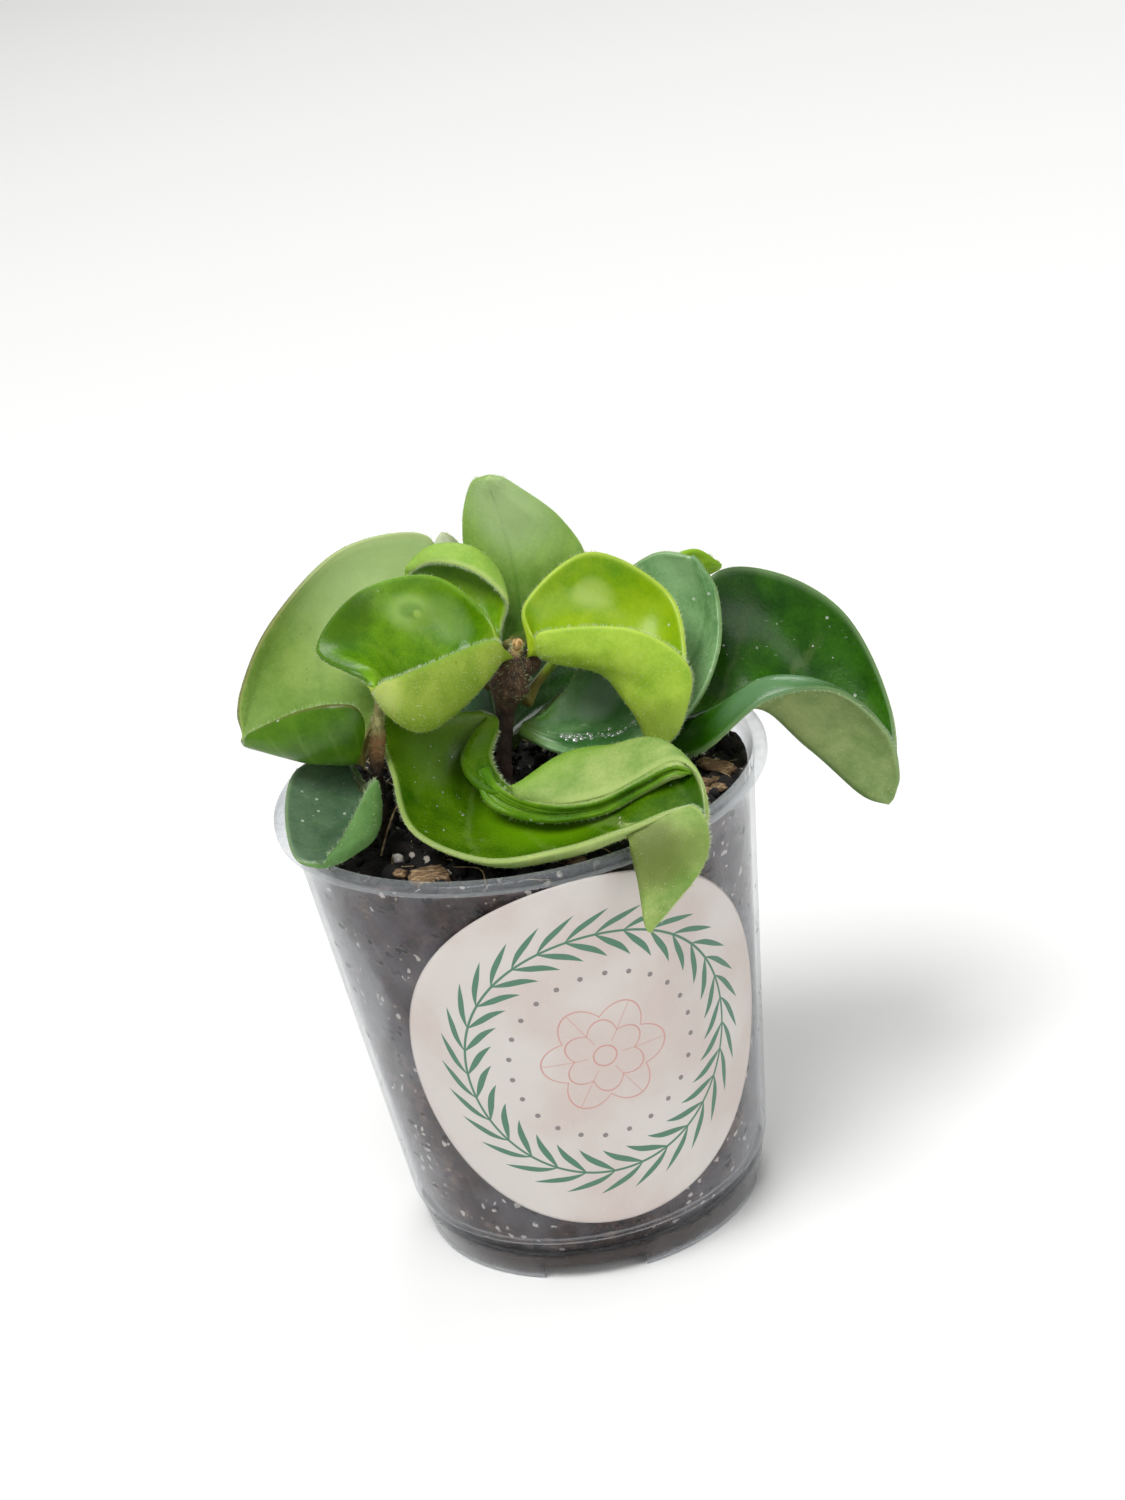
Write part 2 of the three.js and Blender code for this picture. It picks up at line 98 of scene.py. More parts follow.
class Field:
    def __init__(self, finish, socket):
        self.finish = finish
        self.socket = socket

    def math(self, operation, *values):
        return self.finish.node("ShaderNodeMath", {"operation": operation}, values)

    def __add__(self, other):
        return self.math("ADD", self, other)

    def __sub__(self, other):
        return self.math("SUBTRACT", self, other)

    def __rsub__(self, other):
        return self.math("SUBTRACT", other, self)

    def __mul__(self, other):
        return self.math("MULTIPLY", self, other)

    def __truediv__(self, other):
        return self.math("DIVIDE", self, other)

    def __pow__(self, other):
        return self.math("POWER", self, other)

    def __abs__(self):
        return self.math("ABSOLUTE", self)

    def __gt__(self, other):
        return self.math("GREATER_THAN", self, other)

    def __lt__(self, other):
        return self.math("LESS_THAN", self, other)

    __radd__ = __add__
    __rmul__ = __mul__

    def sine(self):
        return self.math("SINE", self)

    def cosine(self):
        return self.math("COSINE", self)

    def fraction(self):
        return self.math("FRACT", self)

    def larger(self, other):
        return self.math("MAXIMUM", self, other)

    def smaller(self, other):
        return self.math("MINIMUM", self, other)

    # 0 below low and 1 above high, with soft ends
    def step(self, low, high):
        settings = {"interpolation_type": "SMOOTHSTEP"}
        return self.finish.node("ShaderNodeMapRange", settings, {0: self, 1: low, 2: high})


class Finish:
    def __init__(self, name):
        self.material = bpy.data.materials.new(name)
        self.material.use_nodes = True
        self.tree = self.material.node_tree
        self.tree.nodes.clear()
        self.output = self.tree.nodes.new("ShaderNodeOutputMaterial")
        self.place = self.node("ShaderNodeTexCoord", output="Object")

    def node(self, kind, settings=None, values=(), output=0):
        made = self.tree.nodes.new(kind)
        for key, value in (settings or {}).items():
            if key == "stops":
                elements = made.color_ramp.elements
                elements[0].position, elements[0].color = value[0]
                elements[1].position, elements[1].color = value[-1]
                for position, color in value[1:-1]:
                    elements.new(position).color = color
            else:
                setattr(made, key, value)
        pairs = values.items() if isinstance(values, dict) else enumerate(values)
        for key, value in pairs:
            if isinstance(value, Field):
                self.tree.links.new(value.socket, made.inputs[key])
            else:
                made.inputs[key].default_value = value
        return Field(self, made.outputs[output])

    def mix(self, share, first, second, blend="MIX"):
        settings = {"data_type": "RGBA", "blend_type": blend}
        return self.node("ShaderNodeMix", settings, {0: share, 6: first, 7: second}, output=2)

    # grain from 0 to 1, with lumps about size millimetres across
    def grain(self, size, detail=2.0, rough=0.5, where=None):
        values = {
            "Vector": where or self.place,
            "Scale": 1 / (size * mm),
            "Detail": detail,
            "Roughness": rough,
        }
        return self.node("ShaderNodeTexNoise", None, values)

    def scattered(self, spacing, where, output):
        values = {"Vector": where or self.place, "Scale": 1 / (spacing * mm)}
        return self.node("ShaderNodeTexVoronoi", None, values, output)

    # distance from the middle of the nearest of many scattered spots, in spot spacings
    def spots(self, spacing, where=None):
        return self.scattered(spacing, where, "Distance")

    # a number from 0 to 1 that is the same all over one spot
    def spotLot(self, spacing, where=None):
        color = self.scattered(spacing, where, "Color")
        return self.node("ShaderNodeSeparateColor", None, [color])

    # the place's coordinate along one axis, in metres
    def axis(self, letter):
        return self.node("ShaderNodeSeparateXYZ", None, [self.place], letter)

    def stretched(self, x, y, z):
        return self.node("ShaderNodeMapping", None, {"Vector": self.place, "Scale": (x, y, z)})

    def attribute(self, name):
        return self.node("ShaderNodeAttribute", {"attribute_name": name}, output="Fac")

    def ramp(self, value, *stops):
        return self.node("ShaderNodeValToRGB", {"stops": stops}, [value])

    def bump(self, height, depth, strength=1.0):
        values = {"Strength": strength, "Distance": depth * mm, "Height": height}
        return self.node("ShaderNodeBump", None, values)

    # 0 where a surface faces the viewer and 1 where it is seen edge-on
    def edgeOn(self):
        return self.node("ShaderNodeLayerWeight", None, {"Blend": 0.5}, "Facing")

    # one of the plain shaders: diffuse, glossy or transparent
    def simple(self, kind, values):
        return self.node("ShaderNodeBsdf" + kind, None, values)

    def mixShader(self, share, first, second):
        return self.node("ShaderNodeMixShader", None, [share, first, second])

    def surface(self, **values):
        named = {key.replace("_", " "): value for key, value in values.items()}
        return self.node("ShaderNodeBsdfPrincipled", None, named)

    def done(self, shader):
        self.tree.links.new(shader.socket, self.output.inputs["Surface"])
        return self.material


# an sRGB colour from 0 to 255 as Blender's linear one
def tone(red, green, blue):
    parts = [value / 255 for value in (red, green, blue)]
    return (*[part / 12.92 if part <= 0.04045 else ((part + 0.055) / 1.055) ** 2.4 for part in parts], 1.0)


# the curve through given points that the plant's lines follow
def smoothLine(points, t):
    points = np.asarray(points, float)
    points = np.vstack([2 * points[0] - points[1], points, 2 * points[-1] - points[-2]])
    place = np.clip(t, 0, 1) * (len(points) - 3)
    i = np.minimum(place.astype(int), len(points) - 4)
    w = (place - i)[..., None]
    p0, p1, p2, p3 = points[i], points[i + 1], points[i + 2], points[i + 3]
    m1 = (p2 - p0) / 2
    m2 = (p3 - p1) / 2
    return p1 + m1 * w + (3 * (p2 - p1) - 2 * m1 - m2) * w**2 + (2 * (p1 - p2) + m1 + m2) * w**3


# an upright capped cone, one unit high and cut into rows
def uprightTube(segments, rows, topRadius=1):
    bm = bmesh.new()
    bmesh.ops.create_cone(bm, cap_ends=True, segments=segments, radius1=1, radius2=topRadius, depth=1)
    rising = [edge for edge in bm.edges if abs(edge.verts[0].co.z - edge.verts[1].co.z) > 0.5]
    bmesh.ops.subdivide_edges(bm, edges=rising, cuts=rows - 1, use_grid_fill=True)
    return bm


# a tube whose corners are moved to their place on the piece.
# place gets t from end to end and turn from 0 to 1 round, and gives points and named values
def bendTube(name, segments, rows, place):
    bm = uprightTube(segments, rows)
    corners = np.array([v.co for v in bm.verts])
    t = np.round((corners[:, 2] + 0.5) * rows) / rows
    angle = np.arctan2(corners[:, 0], corners[:, 1])
    turn = np.round(angle / (2 * math.pi) * segments) % segments / segments
    points, values = place(t, turn)
    for vert, point in zip(bm.verts, atPot(points)):
        vert.co = point
    if bm.calc_volume(signed=True) < 0:
        bmesh.ops.reverse_faces(bm, faces=bm.faces)
    obj = meshObject(name, bm)
    for key, numbers in values.items():
        layer = obj.data.attributes.new(key, "FLOAT", "POINT")
        layer.data.foreach_set("value", np.asarray(numbers, np.float32))
    return obj


def meshObject(name, bm):
    mesh = bpy.data.meshes.new(name)
    bm.to_mesh(mesh)
    bm.free()
    mesh.shade_smooth()
    obj = bpy.data.objects.new(name, mesh)
    bpy.context.collection.objects.link(obj)
    return obj


def dress(obj, material, slotName, *nodes):
    obj.data.materials.append(material)
    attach(obj, "root")
    if nodes:
        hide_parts(*nodes)


def applyModifiers(obj):
    bpy.context.view_layer.update()
    evaluated = obj.evaluated_get(bpy.context.evaluated_depsgraph_get())
    fresh = bpy.data.meshes.new_from_object(evaluated)
    obj.modifiers.clear()
    obj.data = fresh


# the clear pot: one wall turned round the axis, then cut for the notches and the drains

potPlan = {
    "rimRadius": 32.5,
    "rimTop": 63.6,
    "lipDepth": 1.7,
    "wallTop": 30.6,
    "ledgeHeight": 6.3,
    "ledgeRadius": 24.7,
    "footTop": 24.2,
    "footRadius": 23.2,
    "wall": 0.7,
    "floorBottom": 2.3,
    "floorTop": 3.1,
    "notches": 4,
    "notchAngle": 34,
    "notchDepth": 6,
    "firstNotch": -94.5,
    "drainRadius": 2.5,
    "drainRing": 16.5,
    "turnSteps": 144,
}


# how high the sloping wall is between ledge and lip
def wallRise():
    return potPlan["rimTop"] - potPlan["lipDepth"] - potPlan["ledgeHeight"]


def wallRadius(z):
    widening = potPlan["wallTop"] - potPlan["ledgeRadius"]
    return potPlan["ledgeRadius"] + widening * (z - potPlan["ledgeHeight"]) / wallRise()


def roundCorner(centre, radius, start, end, steps):
    angles = np.radians(np.linspace(start, end, steps))
    return [(centre[0] + radius * math.cos(a), centre[1] + radius * math.sin(a)) for a in angles]


# the wall's section, up the outside and down the inside, as (radius, height)
def potProfile(plan):
    wall, foot, footTop = plan["wall"], plan["footRadius"], plan["footTop"]
    rim, rimTop = plan["rimRadius"], plan["rimTop"]
    ledge, ledgeRadius = plan["ledgeHeight"], plan["ledgeRadius"]
    floorBottom, floorTop = plan["floorBottom"], plan["floorTop"]
    lipBottom = rimTop - plan["lipDepth"]
    outside = [(0, floorBottom), (foot - 1.25, floorBottom), (foot - 0.95, 0.25)]
    outside += [(foot - 0.7, 0), (foot - 0.25, 0), (foot + 0.02, 0.3)]
    outside += [(footTop - 0.25, 4.2), (footTop - 0.1, 4.6), (footTop - 0.12, 5.0)]
    outside += [(footTop, ledge - 0.2), (ledgeRadius - 0.12, ledge + 0.05), (ledgeRadius, 6.6)]
    outside += [(wallRadius(z), z) for z in np.linspace(9, lipBottom - 0.5, 12)]
    outside += [(wallRadius(lipBottom) + 0.25, lipBottom - 0.08), (rim - 0.75, lipBottom)]
    outside += roundCorner((rim - 0.5, lipBottom + 0.5), 0.5, -90, 0, 5)
    outside += roundCorner((rim - 0.7, rimTop - 0.7), 0.7, 0, 90, 7)
    inside = roundCorner((wallRadius(rimTop) + 0.4, rimTop - 0.6), 0.6, 100, 180, 5)
    inside += [(wallRadius(z) - wall, z) for z in np.linspace(lipBottom - 0.6, 8, 12)]
    inside += [(footTop - wall, ledge), (footTop - wall - 0.1, 4.5)]
    inside += [(foot - wall + 0.3, floorTop + 0.3), (foot - 1, floorTop), (0, floorTop)]
    return outside + inside


def clearPlastic():
    finish = Finish("clearPlastic")
    streaks = finish.grain(3.0, 3, where=finish.stretched(1, 1, 0.3)).step(0.45, 0.85)
    smudges = finish.grain(13.0, 2).step(0.44, 0.7)
    specks = (finish.spots(2.1) < 0.09) * (finish.spotLot(2.1) > 0.8)
    across = (finish.axis("X") - potAxis[0]) / mm
    # more haze towards the left and right sides, where the wall is seen edge-on: the plastic's own haze
    # with painted glare added
    sideHazeAndGlare = abs(across).step(17, 28)
    height = finish.axis("Z") / mm
    lipBottom = potPlan["rimTop"] - potPlan["lipDepth"]
    lip = height.step(lipBottom - 1, lipBottom)
    haze = smudges * (0.03 + sideHazeAndGlare * 0.17) + streaks * (0.02 + sideHazeAndGlare * 0.08) + lip * 0.08 + 0.006
    haze = haze + specks * (1 - lip) * 0.22

    # a pale hazy wedge down the left of the wall, and painted highlight lines at the ledge and the foot's
    # edge
    bulge = (1 - ((height - 42) / 17) ** 2).larger(0)
    leftPaleWedge = (0 - across + bulge * 9 + finish.grain(6.0, 2) * 3).step(31.2, 33.4)
    ledge = 1 - abs(height - (potPlan["ledgeHeight"] + 0.1)).step(0.1, 0.35)
    foot = 1 - height.step(0.4, 1.2)
    haze = haze + leftPaleWedge * (0.12 + streaks * 0.12) + ledge * 0.25 + foot * 0.3
    edgeOn = finish.edgeOn()
    wall = finish.surface(Base_Color=tone(204, 209, 214), Roughness=0.4)
    clear = finish.simple("Transparent", {"Color": (0.97, 0.975, 0.985, 1)})

    # a stained band at the foot and black flecks that stick to the wall
    dirt = height + finish.grain(2.4, 4, 0.6) * 2.4
    stained = dirt.step(1.5, 2.6) * (1 - dirt.step(4.6, 5.6))
    slivers = finish.stretched(0.5, 0.5, 1.3)
    ragged = (finish.grain(0.9, 2) - 0.5) * 0.9
    fleck = (finish.spots(2.2, slivers) + ragged < 0.17) * (finish.spotLot(2.2, slivers) < 0.5)
    fleck = fleck * (1 - lip)
    dirtTone = finish.mix(fleck, tone(50, 38, 34), tone(20, 17, 18))
    soiled = finish.surface(Base_Color=dirtTone, Roughness=0.6)
    clear = finish.mixShader((stained * 0.78).larger(fleck * 0.85), clear, soiled)
    body = finish.mixShader(haze + edgeOn ** 4 * 0.35, clear, wall)
    wave = finish.bump(finish.grain(6.0, 1, where=finish.stretched(1, 1, 0.35)), 0.12)
    shine = finish.simple("Glossy", {"Roughness": 0.09, "Normal": wave})
    return finish.done(finish.mixShader(edgeOn ** 5 * 0.7 + 0.012, body, shine))


def addPot(plan):
    bm = bmesh.new()
    corners = [bm.verts.new(atPot((r, 0, z))) for r, z in potProfile(plan)]
    line = [bm.edges.new(pair) for pair in zip(corners, corners[1:])]
    bmesh.ops.spin(bm, geom=corners + line, cent=Vector(potAxis), axis=(0, 0, 1),
                   angle=2 * math.pi, steps=plan["turnSteps"], use_merge=True)
    bmesh.ops.remove_doubles(bm, verts=bm.verts, dist=0.01 * mm)
    bmesh.ops.recalc_face_normals(bm, faces=bm.faces)
    pot = meshObject("clear_pot", bm)
    cutters = []
    width = 2 * plan["footRadius"] * math.sin(math.radians(plan["notchAngle"] / 2))
    for i in range(plan["notches"]):
        angle = math.radians(plan["firstNotch"] + i * 360 / plan["notches"])
        turn = Matrix.Translation(potAxis) @ Matrix.Rotation(angle, 4, "Z")
        cutter = bmesh.new()
        size = Matrix.Diagonal((plan["notchDepth"] * mm, width * mm, (plan["floorBottom"] + 1) * mm, 1))
        middle = Vector(((plan["footRadius"] + 0.6) * mm, 0, (plan["floorBottom"] - 1.04) / 2 * mm))
        bmesh.ops.create_cube(cutter, size=1, matrix=turn @ Matrix.Translation(middle) @ size)
        drain = Vector((plan["drainRing"] * mm, 0, plan["floorTop"] * mm))
        radius = plan["drainRadius"] * mm
        bmesh.ops.create_cone(cutter, cap_ends=True, segments=32, radius1=radius, radius2=radius,
                              depth=4 * mm, matrix=turn @ Matrix.Translation(drain))
        cutters.append(meshObject("cutter", cutter))
    for cutter in cutters:
        cut = pot.modifiers.new("cut", "BOOLEAN")
        cut.object = cutter
        cut.operation = "DIFFERENCE"
    applyModifiers(pot)
    for cutter in cutters:
        bpy.data.objects.remove(cutter)
    pot.data.set_sharp_from_angle(angle=math.radians(50))
    dress(pot, clearPlastic(), "clear_plastic", "pot")


addPot(potPlan)
print("pot made")


# the potting mix: a turned body pressed against the wall, with an uneven crumbly top

soilPlan = {
    "top": 60.8,
    "bottom": 3.4,
    "wallGap": 0.12,
    "sideDents": 0.7,
    "lumps": 1.1,
    "crumbs": 620,
    "perlite": 46,
    "fibres": 70,
    "fibreRadius": 0.1,
    "fibreReach": 28.5,
}


def soilHeight(x, y):
    waves = 0.35 * np.sin(0.9 * x + 1) * np.cos(0.8 * y) + 0.3 * np.sin(1.3 * x - 1.1 * y)
    underLeaf = 1.1 * np.exp(-((x + 5) ** 2 + (y + 20) ** 2) / 40)
    return soilPlan["top"] + waves - 0.6 * (np.hypot(x, y) / 30) ** 4 - underLeaf


# t runs out over the floor, up the wall and in over the top
def soilPlace(t, turn):
    plan = soilPlan
    floorEnd, wallEnd = 0.06, 0.6
    inset = potPlan["wall"] + plan["wallGap"]
    topEdge = wallRadius(plan["top"]) - inset
    profileT = [0, floorEnd, 0.08, 0.1, wallEnd, 1]
    radius = np.interp(t, profileT, [0.2, 22.0, 23.1, wallRadius(7.6) - inset - 0.2, topEdge, 0.2])
    height = np.interp(t, profileT, [plan["bottom"], plan["bottom"], 5.6, 7.6, plan["top"], plan["top"]])
    angle = turn * 2 * math.pi
    points = np.stack([radius * np.cos(angle), radius * np.sin(angle), height], axis=-1)
    onTop = np.clip((t - wallEnd) / 0.012, 0, 1)
    onSide = np.clip((t - floorEnd) / 0.02, 0, 1) * (1 - onTop)
    lumps = np.array([noise.fractal(Vector(p * 0.42), 0.8, 2.2, 4) for p in points])
    coarse = np.array([noise.noise(Vector(p * 0.2)) for p in points])
    points[:, 2] += onTop * (soilHeight(points[:, 0], points[:, 1]) - plan["top"] + plan["lumps"] * lumps)
    inward = onSide * np.clip(plan["sideDents"] * (lumps + coarse), 0, 1.6)
    points[:, :2] *= (1 - inward / np.maximum(radius, 1))[:, None]
    return points, {"top": onTop}


def pottingMix():
    finish = Finish("pottingMix")
    top = finish.attribute("top")
    clumps = finish.grain(3.2, 5, 0.65)
    crumbs = finish.grain(0.7, 4, 0.7)
    tones = [(0.34, tone(14, 10, 10)), (0.5, tone(54, 42, 39)), (0.66, tone(124, 100, 92))]
    base = finish.ramp(clumps, *tones)
    damp = finish.grain(9.0, 2).step(0.42, 0.62)
    base = finish.mix((1 - top) * damp * 0.6, base, tone(92, 94, 102))
    base = finish.mix(crumbs.step(0.52, 0.72) * 0.4, base, tone(112, 88, 72))
    base = finish.mix((1 - top) * 0.25, base, tone(92, 70, 66))
    base = finish.mix(top * 0.9, base, tone(7, 7, 9))
    fibre = finish.grain(1.2, 3, where=finish.stretched(1, 1, 6)).step(0.62, 0.7) * (1 - top * 0.7)
    base = finish.mix(fibre * 0.45, base, tone(120, 84, 52))
    strewn = finish.grain(6.5, 2) > 0.51
    pearl = (finish.spots(1.5) + (crumbs - 0.5) * 0.9 < 0.27) * (finish.spotLot(1.5) > 0.5) * strewn
    base = finish.mix(pearl, base, tone(206, 196, 188))
    sand = (finish.spots(1.1) < 0.2) * (finish.spotLot(1.1) > 0.86) * (1 - top * 0.7)
    base = finish.mix(sand * 0.8, base, tone(170, 152, 136))
    slivers = finish.stretched(0.6, 0.6, 1.5)
    soot = finish.spots(1.9, slivers) + (crumbs - 0.5) * 0.7 < 0.2
    soot = soot * (finish.spotLot(1.9, slivers) < 0.34)
    base = finish.mix(soot * 0.8, base, tone(10, 8, 8))
    bumps = finish.bump(crumbs + clumps * 0.8, 0.5)
    return finish.done(finish.surface(Base_Color=base, Roughness=0.92 - damp * 0.2, Normal=bumps))


def soilBit(name, dark, light, size, rough=0.9):
    finish = Finish(name)
    base = finish.mix(finish.grain(size, 4, 0.6).step(0.35, 0.65), dark, light)
    bumps = finish.bump(finish.grain(size / 2, 4, 0.6), 0.12)
    return finish.done(finish.surface(Base_Color=base, Roughness=rough, Normal=bumps))


# adds the small mesh part to whole, which is far quicker than building in one large mesh
def pour(part, whole):
    mesh = bpy.data.meshes.new("part")
    part.to_mesh(mesh)
    part.free()
    whole.from_mesh(mesh)
    bpy.data.meshes.remove(mesh)


# stones and crumbs: small rough balls, each pulled out of shape
def addGrains(name, places, sizes, material, squash):
    whole = bmesh.new()
    batch = 150
    for first in range(0, len(places), batch):
        part = bmesh.new()
        last = first + batch
        for place, size in zip(places[first:last], sizes[first:last]):
            turn = Matrix.Rotation(dice.uniform(0, 6.3), 4, Vector(dice.normal(size=3)))
            stretch = Matrix.Diagonal((*(size * mm * dice.uniform(0.65, 1.2, 3) * (1, 1, squash)), 1))
            made = bmesh.ops.create_icosphere(part, subdivisions=2, radius=0.5)
            for vert in made["verts"]:
                vert.co += Vector(dice.normal(0, 0.06, 3))
            move = Matrix.Translation(atPot(place)) @ turn @ stretch
            bmesh.ops.transform(part, matrix=move, verts=made["verts"])
        pour(part, whole)
    dress(meshObject(name, whole), material, "potting_mix")


def scatterOnSoil(count, low, high, lift):
    reach = wallRadius(soilPlan["top"]) - potPlan["wall"] - 0.9
    away = reach * np.sqrt(dice.uniform(0.02, 1, count))
    angle = dice.uniform(0, 2 * math.pi, count)
    sizes = low + (high - low) * dice.uniform(0, 1, count) ** 2.2
    away = np.minimum(away, reach - sizes / 2)
    x, y = away * np.cos(angle), away * np.sin(angle)
    return np.stack([x, y, soilHeight(x, y) + lift * sizes], axis=-1), sizes


barkPlan = [
    {"at": (-12.9, -20.6), "size": (4.4, 3.2, 1.7), "turn": (0.2, 0.15, 0.3)},
    {"at": (-16.4, -19.8), "size": (2.2, 1.5, 1.0), "turn": (0.3, 0.4, 1.4)},
    {"at": (23.4, -8.7), "size": (6.4, 1.8, 1.0), "turn": (0.1, 0.35, 1.0)},
    {"at": (25.3, -4.8), "size": (4.6, 1.7, 0.9), "turn": (0.35, 0.2, -0.5)},
    {"at": (21.6, -11.8), "size": (4.2, 2.2, 1.1), "turn": (0.4, -0.2, 0.2)},
    {"at": (24.6, -11.4), "size": (3.0, 1.2, 0.8), "turn": (-0.3, 0.3, 2.0)},
    {"at": (3.5, 21), "size": (4.4, 2.4, 1.2), "turn": (0.1, 0.3, 0.7)},
    {"at": (-8, 19), "size": (5, 2.6, 1.5), "turn": (0.2, -0.2, 0.3)},
    {"at": (12, 21), "size": (4, 2.4, 1.4), "turn": (-0.2, 0.2, 1.2)},
    {"at": (5, -24), "size": (3.4, 1.8, 1.0), "turn": (0.2, 0.1, 2.2)},
    {"at": (-24, -8), "size": (3.2, 1.6, 0.9), "turn": (0.1, 0.4, 1.7)},
]


def addBark(chips):
    whole = bmesh.new()
    for chip in chips:
        x, y = chip["at"]
        part = bmesh.new()
        bmesh.ops.create_cube(part, size=1)
        bmesh.ops.subdivide_edges(part, edges=part.edges, cuts=5, use_grid_fill=True)
        for vert in part.verts:
            ball = vert.co.normalized() * 0.62
            vert.co = vert.co.lerp(ball, 0.55)
            vert.co *= 1 + 0.22 * noise.fractal(vert.co * 3 + Vector((x, y, 0)), 0.8, 2.1, 3)
        aboutX, aboutY, aboutZ = [Matrix.Rotation(a, 4, axis) for a, axis in zip(chip["turn"], "XYZ")]
        shape = aboutZ @ aboutY @ aboutX @ Matrix.Diagonal((*np.array(chip["size"]) * mm, 1))
        place = Matrix.Translation(atPot((x, y, soilHeight(x, y) + 0.35)))
        bmesh.ops.transform(part, matrix=place @ shape, verts=part.verts)
        pour(part, whole)
    bmesh.ops.recalc_face_normals(whole, faces=whole.faces)
    finish = Finish("barkChips")
    rings = finish.grain(1.1, 4, 0.6, where=finish.stretched(1, 3.5, 3.5))
    tones = [(0.3, tone(58, 42, 30)), (0.52, tone(132, 104, 74)), (0.75, tone(196, 172, 134))]
    base = finish.ramp(rings, *tones)
    bumps = finish.bump(rings, 0.3)
    material = finish.done(finish.surface(Base_Color=base, Roughness=0.85, Normal=bumps))
    dress(meshObject("bark_chips", whole), material, "potting_mix")


# one bare root lies over the mix beside the left stem
rootPlan = {
    "spine": [(-15.4, -6.5, 65), (-16.4, -8, 64.4), (-17.7, -11, 62.9), (-18.8, -13.6, 61.2)],
    "radius": 0.28,
}


# thin roots and peat fibres, each a bent tube
def addFibres(count):
    whole = bmesh.new()
    places, sizes = scatterOnSoil(count, 3.0, 9.0, 0.03)
    spines = []
    for place, length in zip(places, sizes):
        heading = unit(np.array([*dice.normal(size=2), dice.uniform(0, 0.25)]))
        bend = dice.normal(0, 0.16, 3) * length * (1, 1, 0.4)
        line = [place, place + heading * length / 2 + bend, place + heading * length]
        spines.append((np.array(line), soilPlan["fibreRadius"]))
    spines.append((np.array(rootPlan["spine"]), rootPlan["radius"]))
    for spine, radius in spines:
        away = np.maximum(np.hypot(spine[:, 0], spine[:, 1]), 1)
        spine[:, :2] *= np.minimum(1, soilPlan["fibreReach"] / away)[:, None]
        part = uprightTube(5, 8, 0.6)
        for vert in part.verts:
            middle = smoothLine(spine, np.array([vert.co.z + 0.5]))[0]
            off = np.array([vert.co.x, vert.co.y, (vert.co.x - vert.co.y) * 0.5])
            vert.co = atPot(middle + off * radius)
        pour(part, whole)
    bmesh.ops.recalc_face_normals(whole, faces=whole.faces)
    material = soilBit("rootFibre", tone(120, 92, 60), tone(196, 172, 128), 1.5, 0.7)
    dress(meshObject("fibres", whole), material, "potting_mix")


dress(bendTube("mix_body", 200, 150, soilPlace), pottingMix(), "potting_mix", "soil")
crumbMaterial = soilBit("crumbs", tone(5, 4, 5), tone(24, 19, 18), 0.8)
addGrains("crumbs", *scatterOnSoil(soilPlan["crumbs"], 0.7, 3.0, 0.15), crumbMaterial, 0.75)
perliteMaterial = soilBit("perliteGrain", tone(168, 160, 150), tone(236, 232, 226), 0.7)
addGrains("perlite", *scatterOnSoil(soilPlan["perlite"], 0.6, 2.2, 0.25), perliteMaterial, 0.85)
addBark(barkPlan)
addFibres(soilPlan["fibres"])
print("potting mix made")


# the round sticker, bent round the wall, with a wreath of sprigs and a rose rosette

stickerPlan = {
    "radius": 26.2,
    "centreHeight": 35.3,
    "centreArc": 4.5,
    "gap": 0.32,
    "thickness": 0.2,
    "wreathRadius": 18.0,
    "sprigs": 30,
    "beads": 24,
    "beadRing": 12.2,
    "rosetteRadius": 8.2,
}


# t runs over the disc's back from the middle to the rim at 0.49, and from 0.51 over its front
def stickerPlace(t, turn):
    plan = stickerPlan
    face = np.clip(np.abs(t - 0.5) * 2, 0, 1)
    away = plan["radius"] * np.clip((1 - face) / 0.98, 0.01, 1)
    lift = plan["gap"] + plan["thickness"] * np.clip((t - 0.49) / 0.02, 0, 1)
    angle = turn * 2 * math.pi
    arc = away * np.cos(angle)
    up = away * np.sin(angle)
    lean = math.atan((potPlan["wallTop"] - potPlan["ledgeRadius"]) / wallRise())
    z = plan["centreHeight"] + up * math.cos(lean)
    radius = wallRadius(z) + lift
    bearing = plan["centreArc"] / wallRadius(plan["centreHeight"]) + arc / radius
    points = np.stack([radius * np.sin(bearing), -radius * np.cos(bearing), z], axis=-1)
    return points, {"printAcross": arc, "printUp": up}


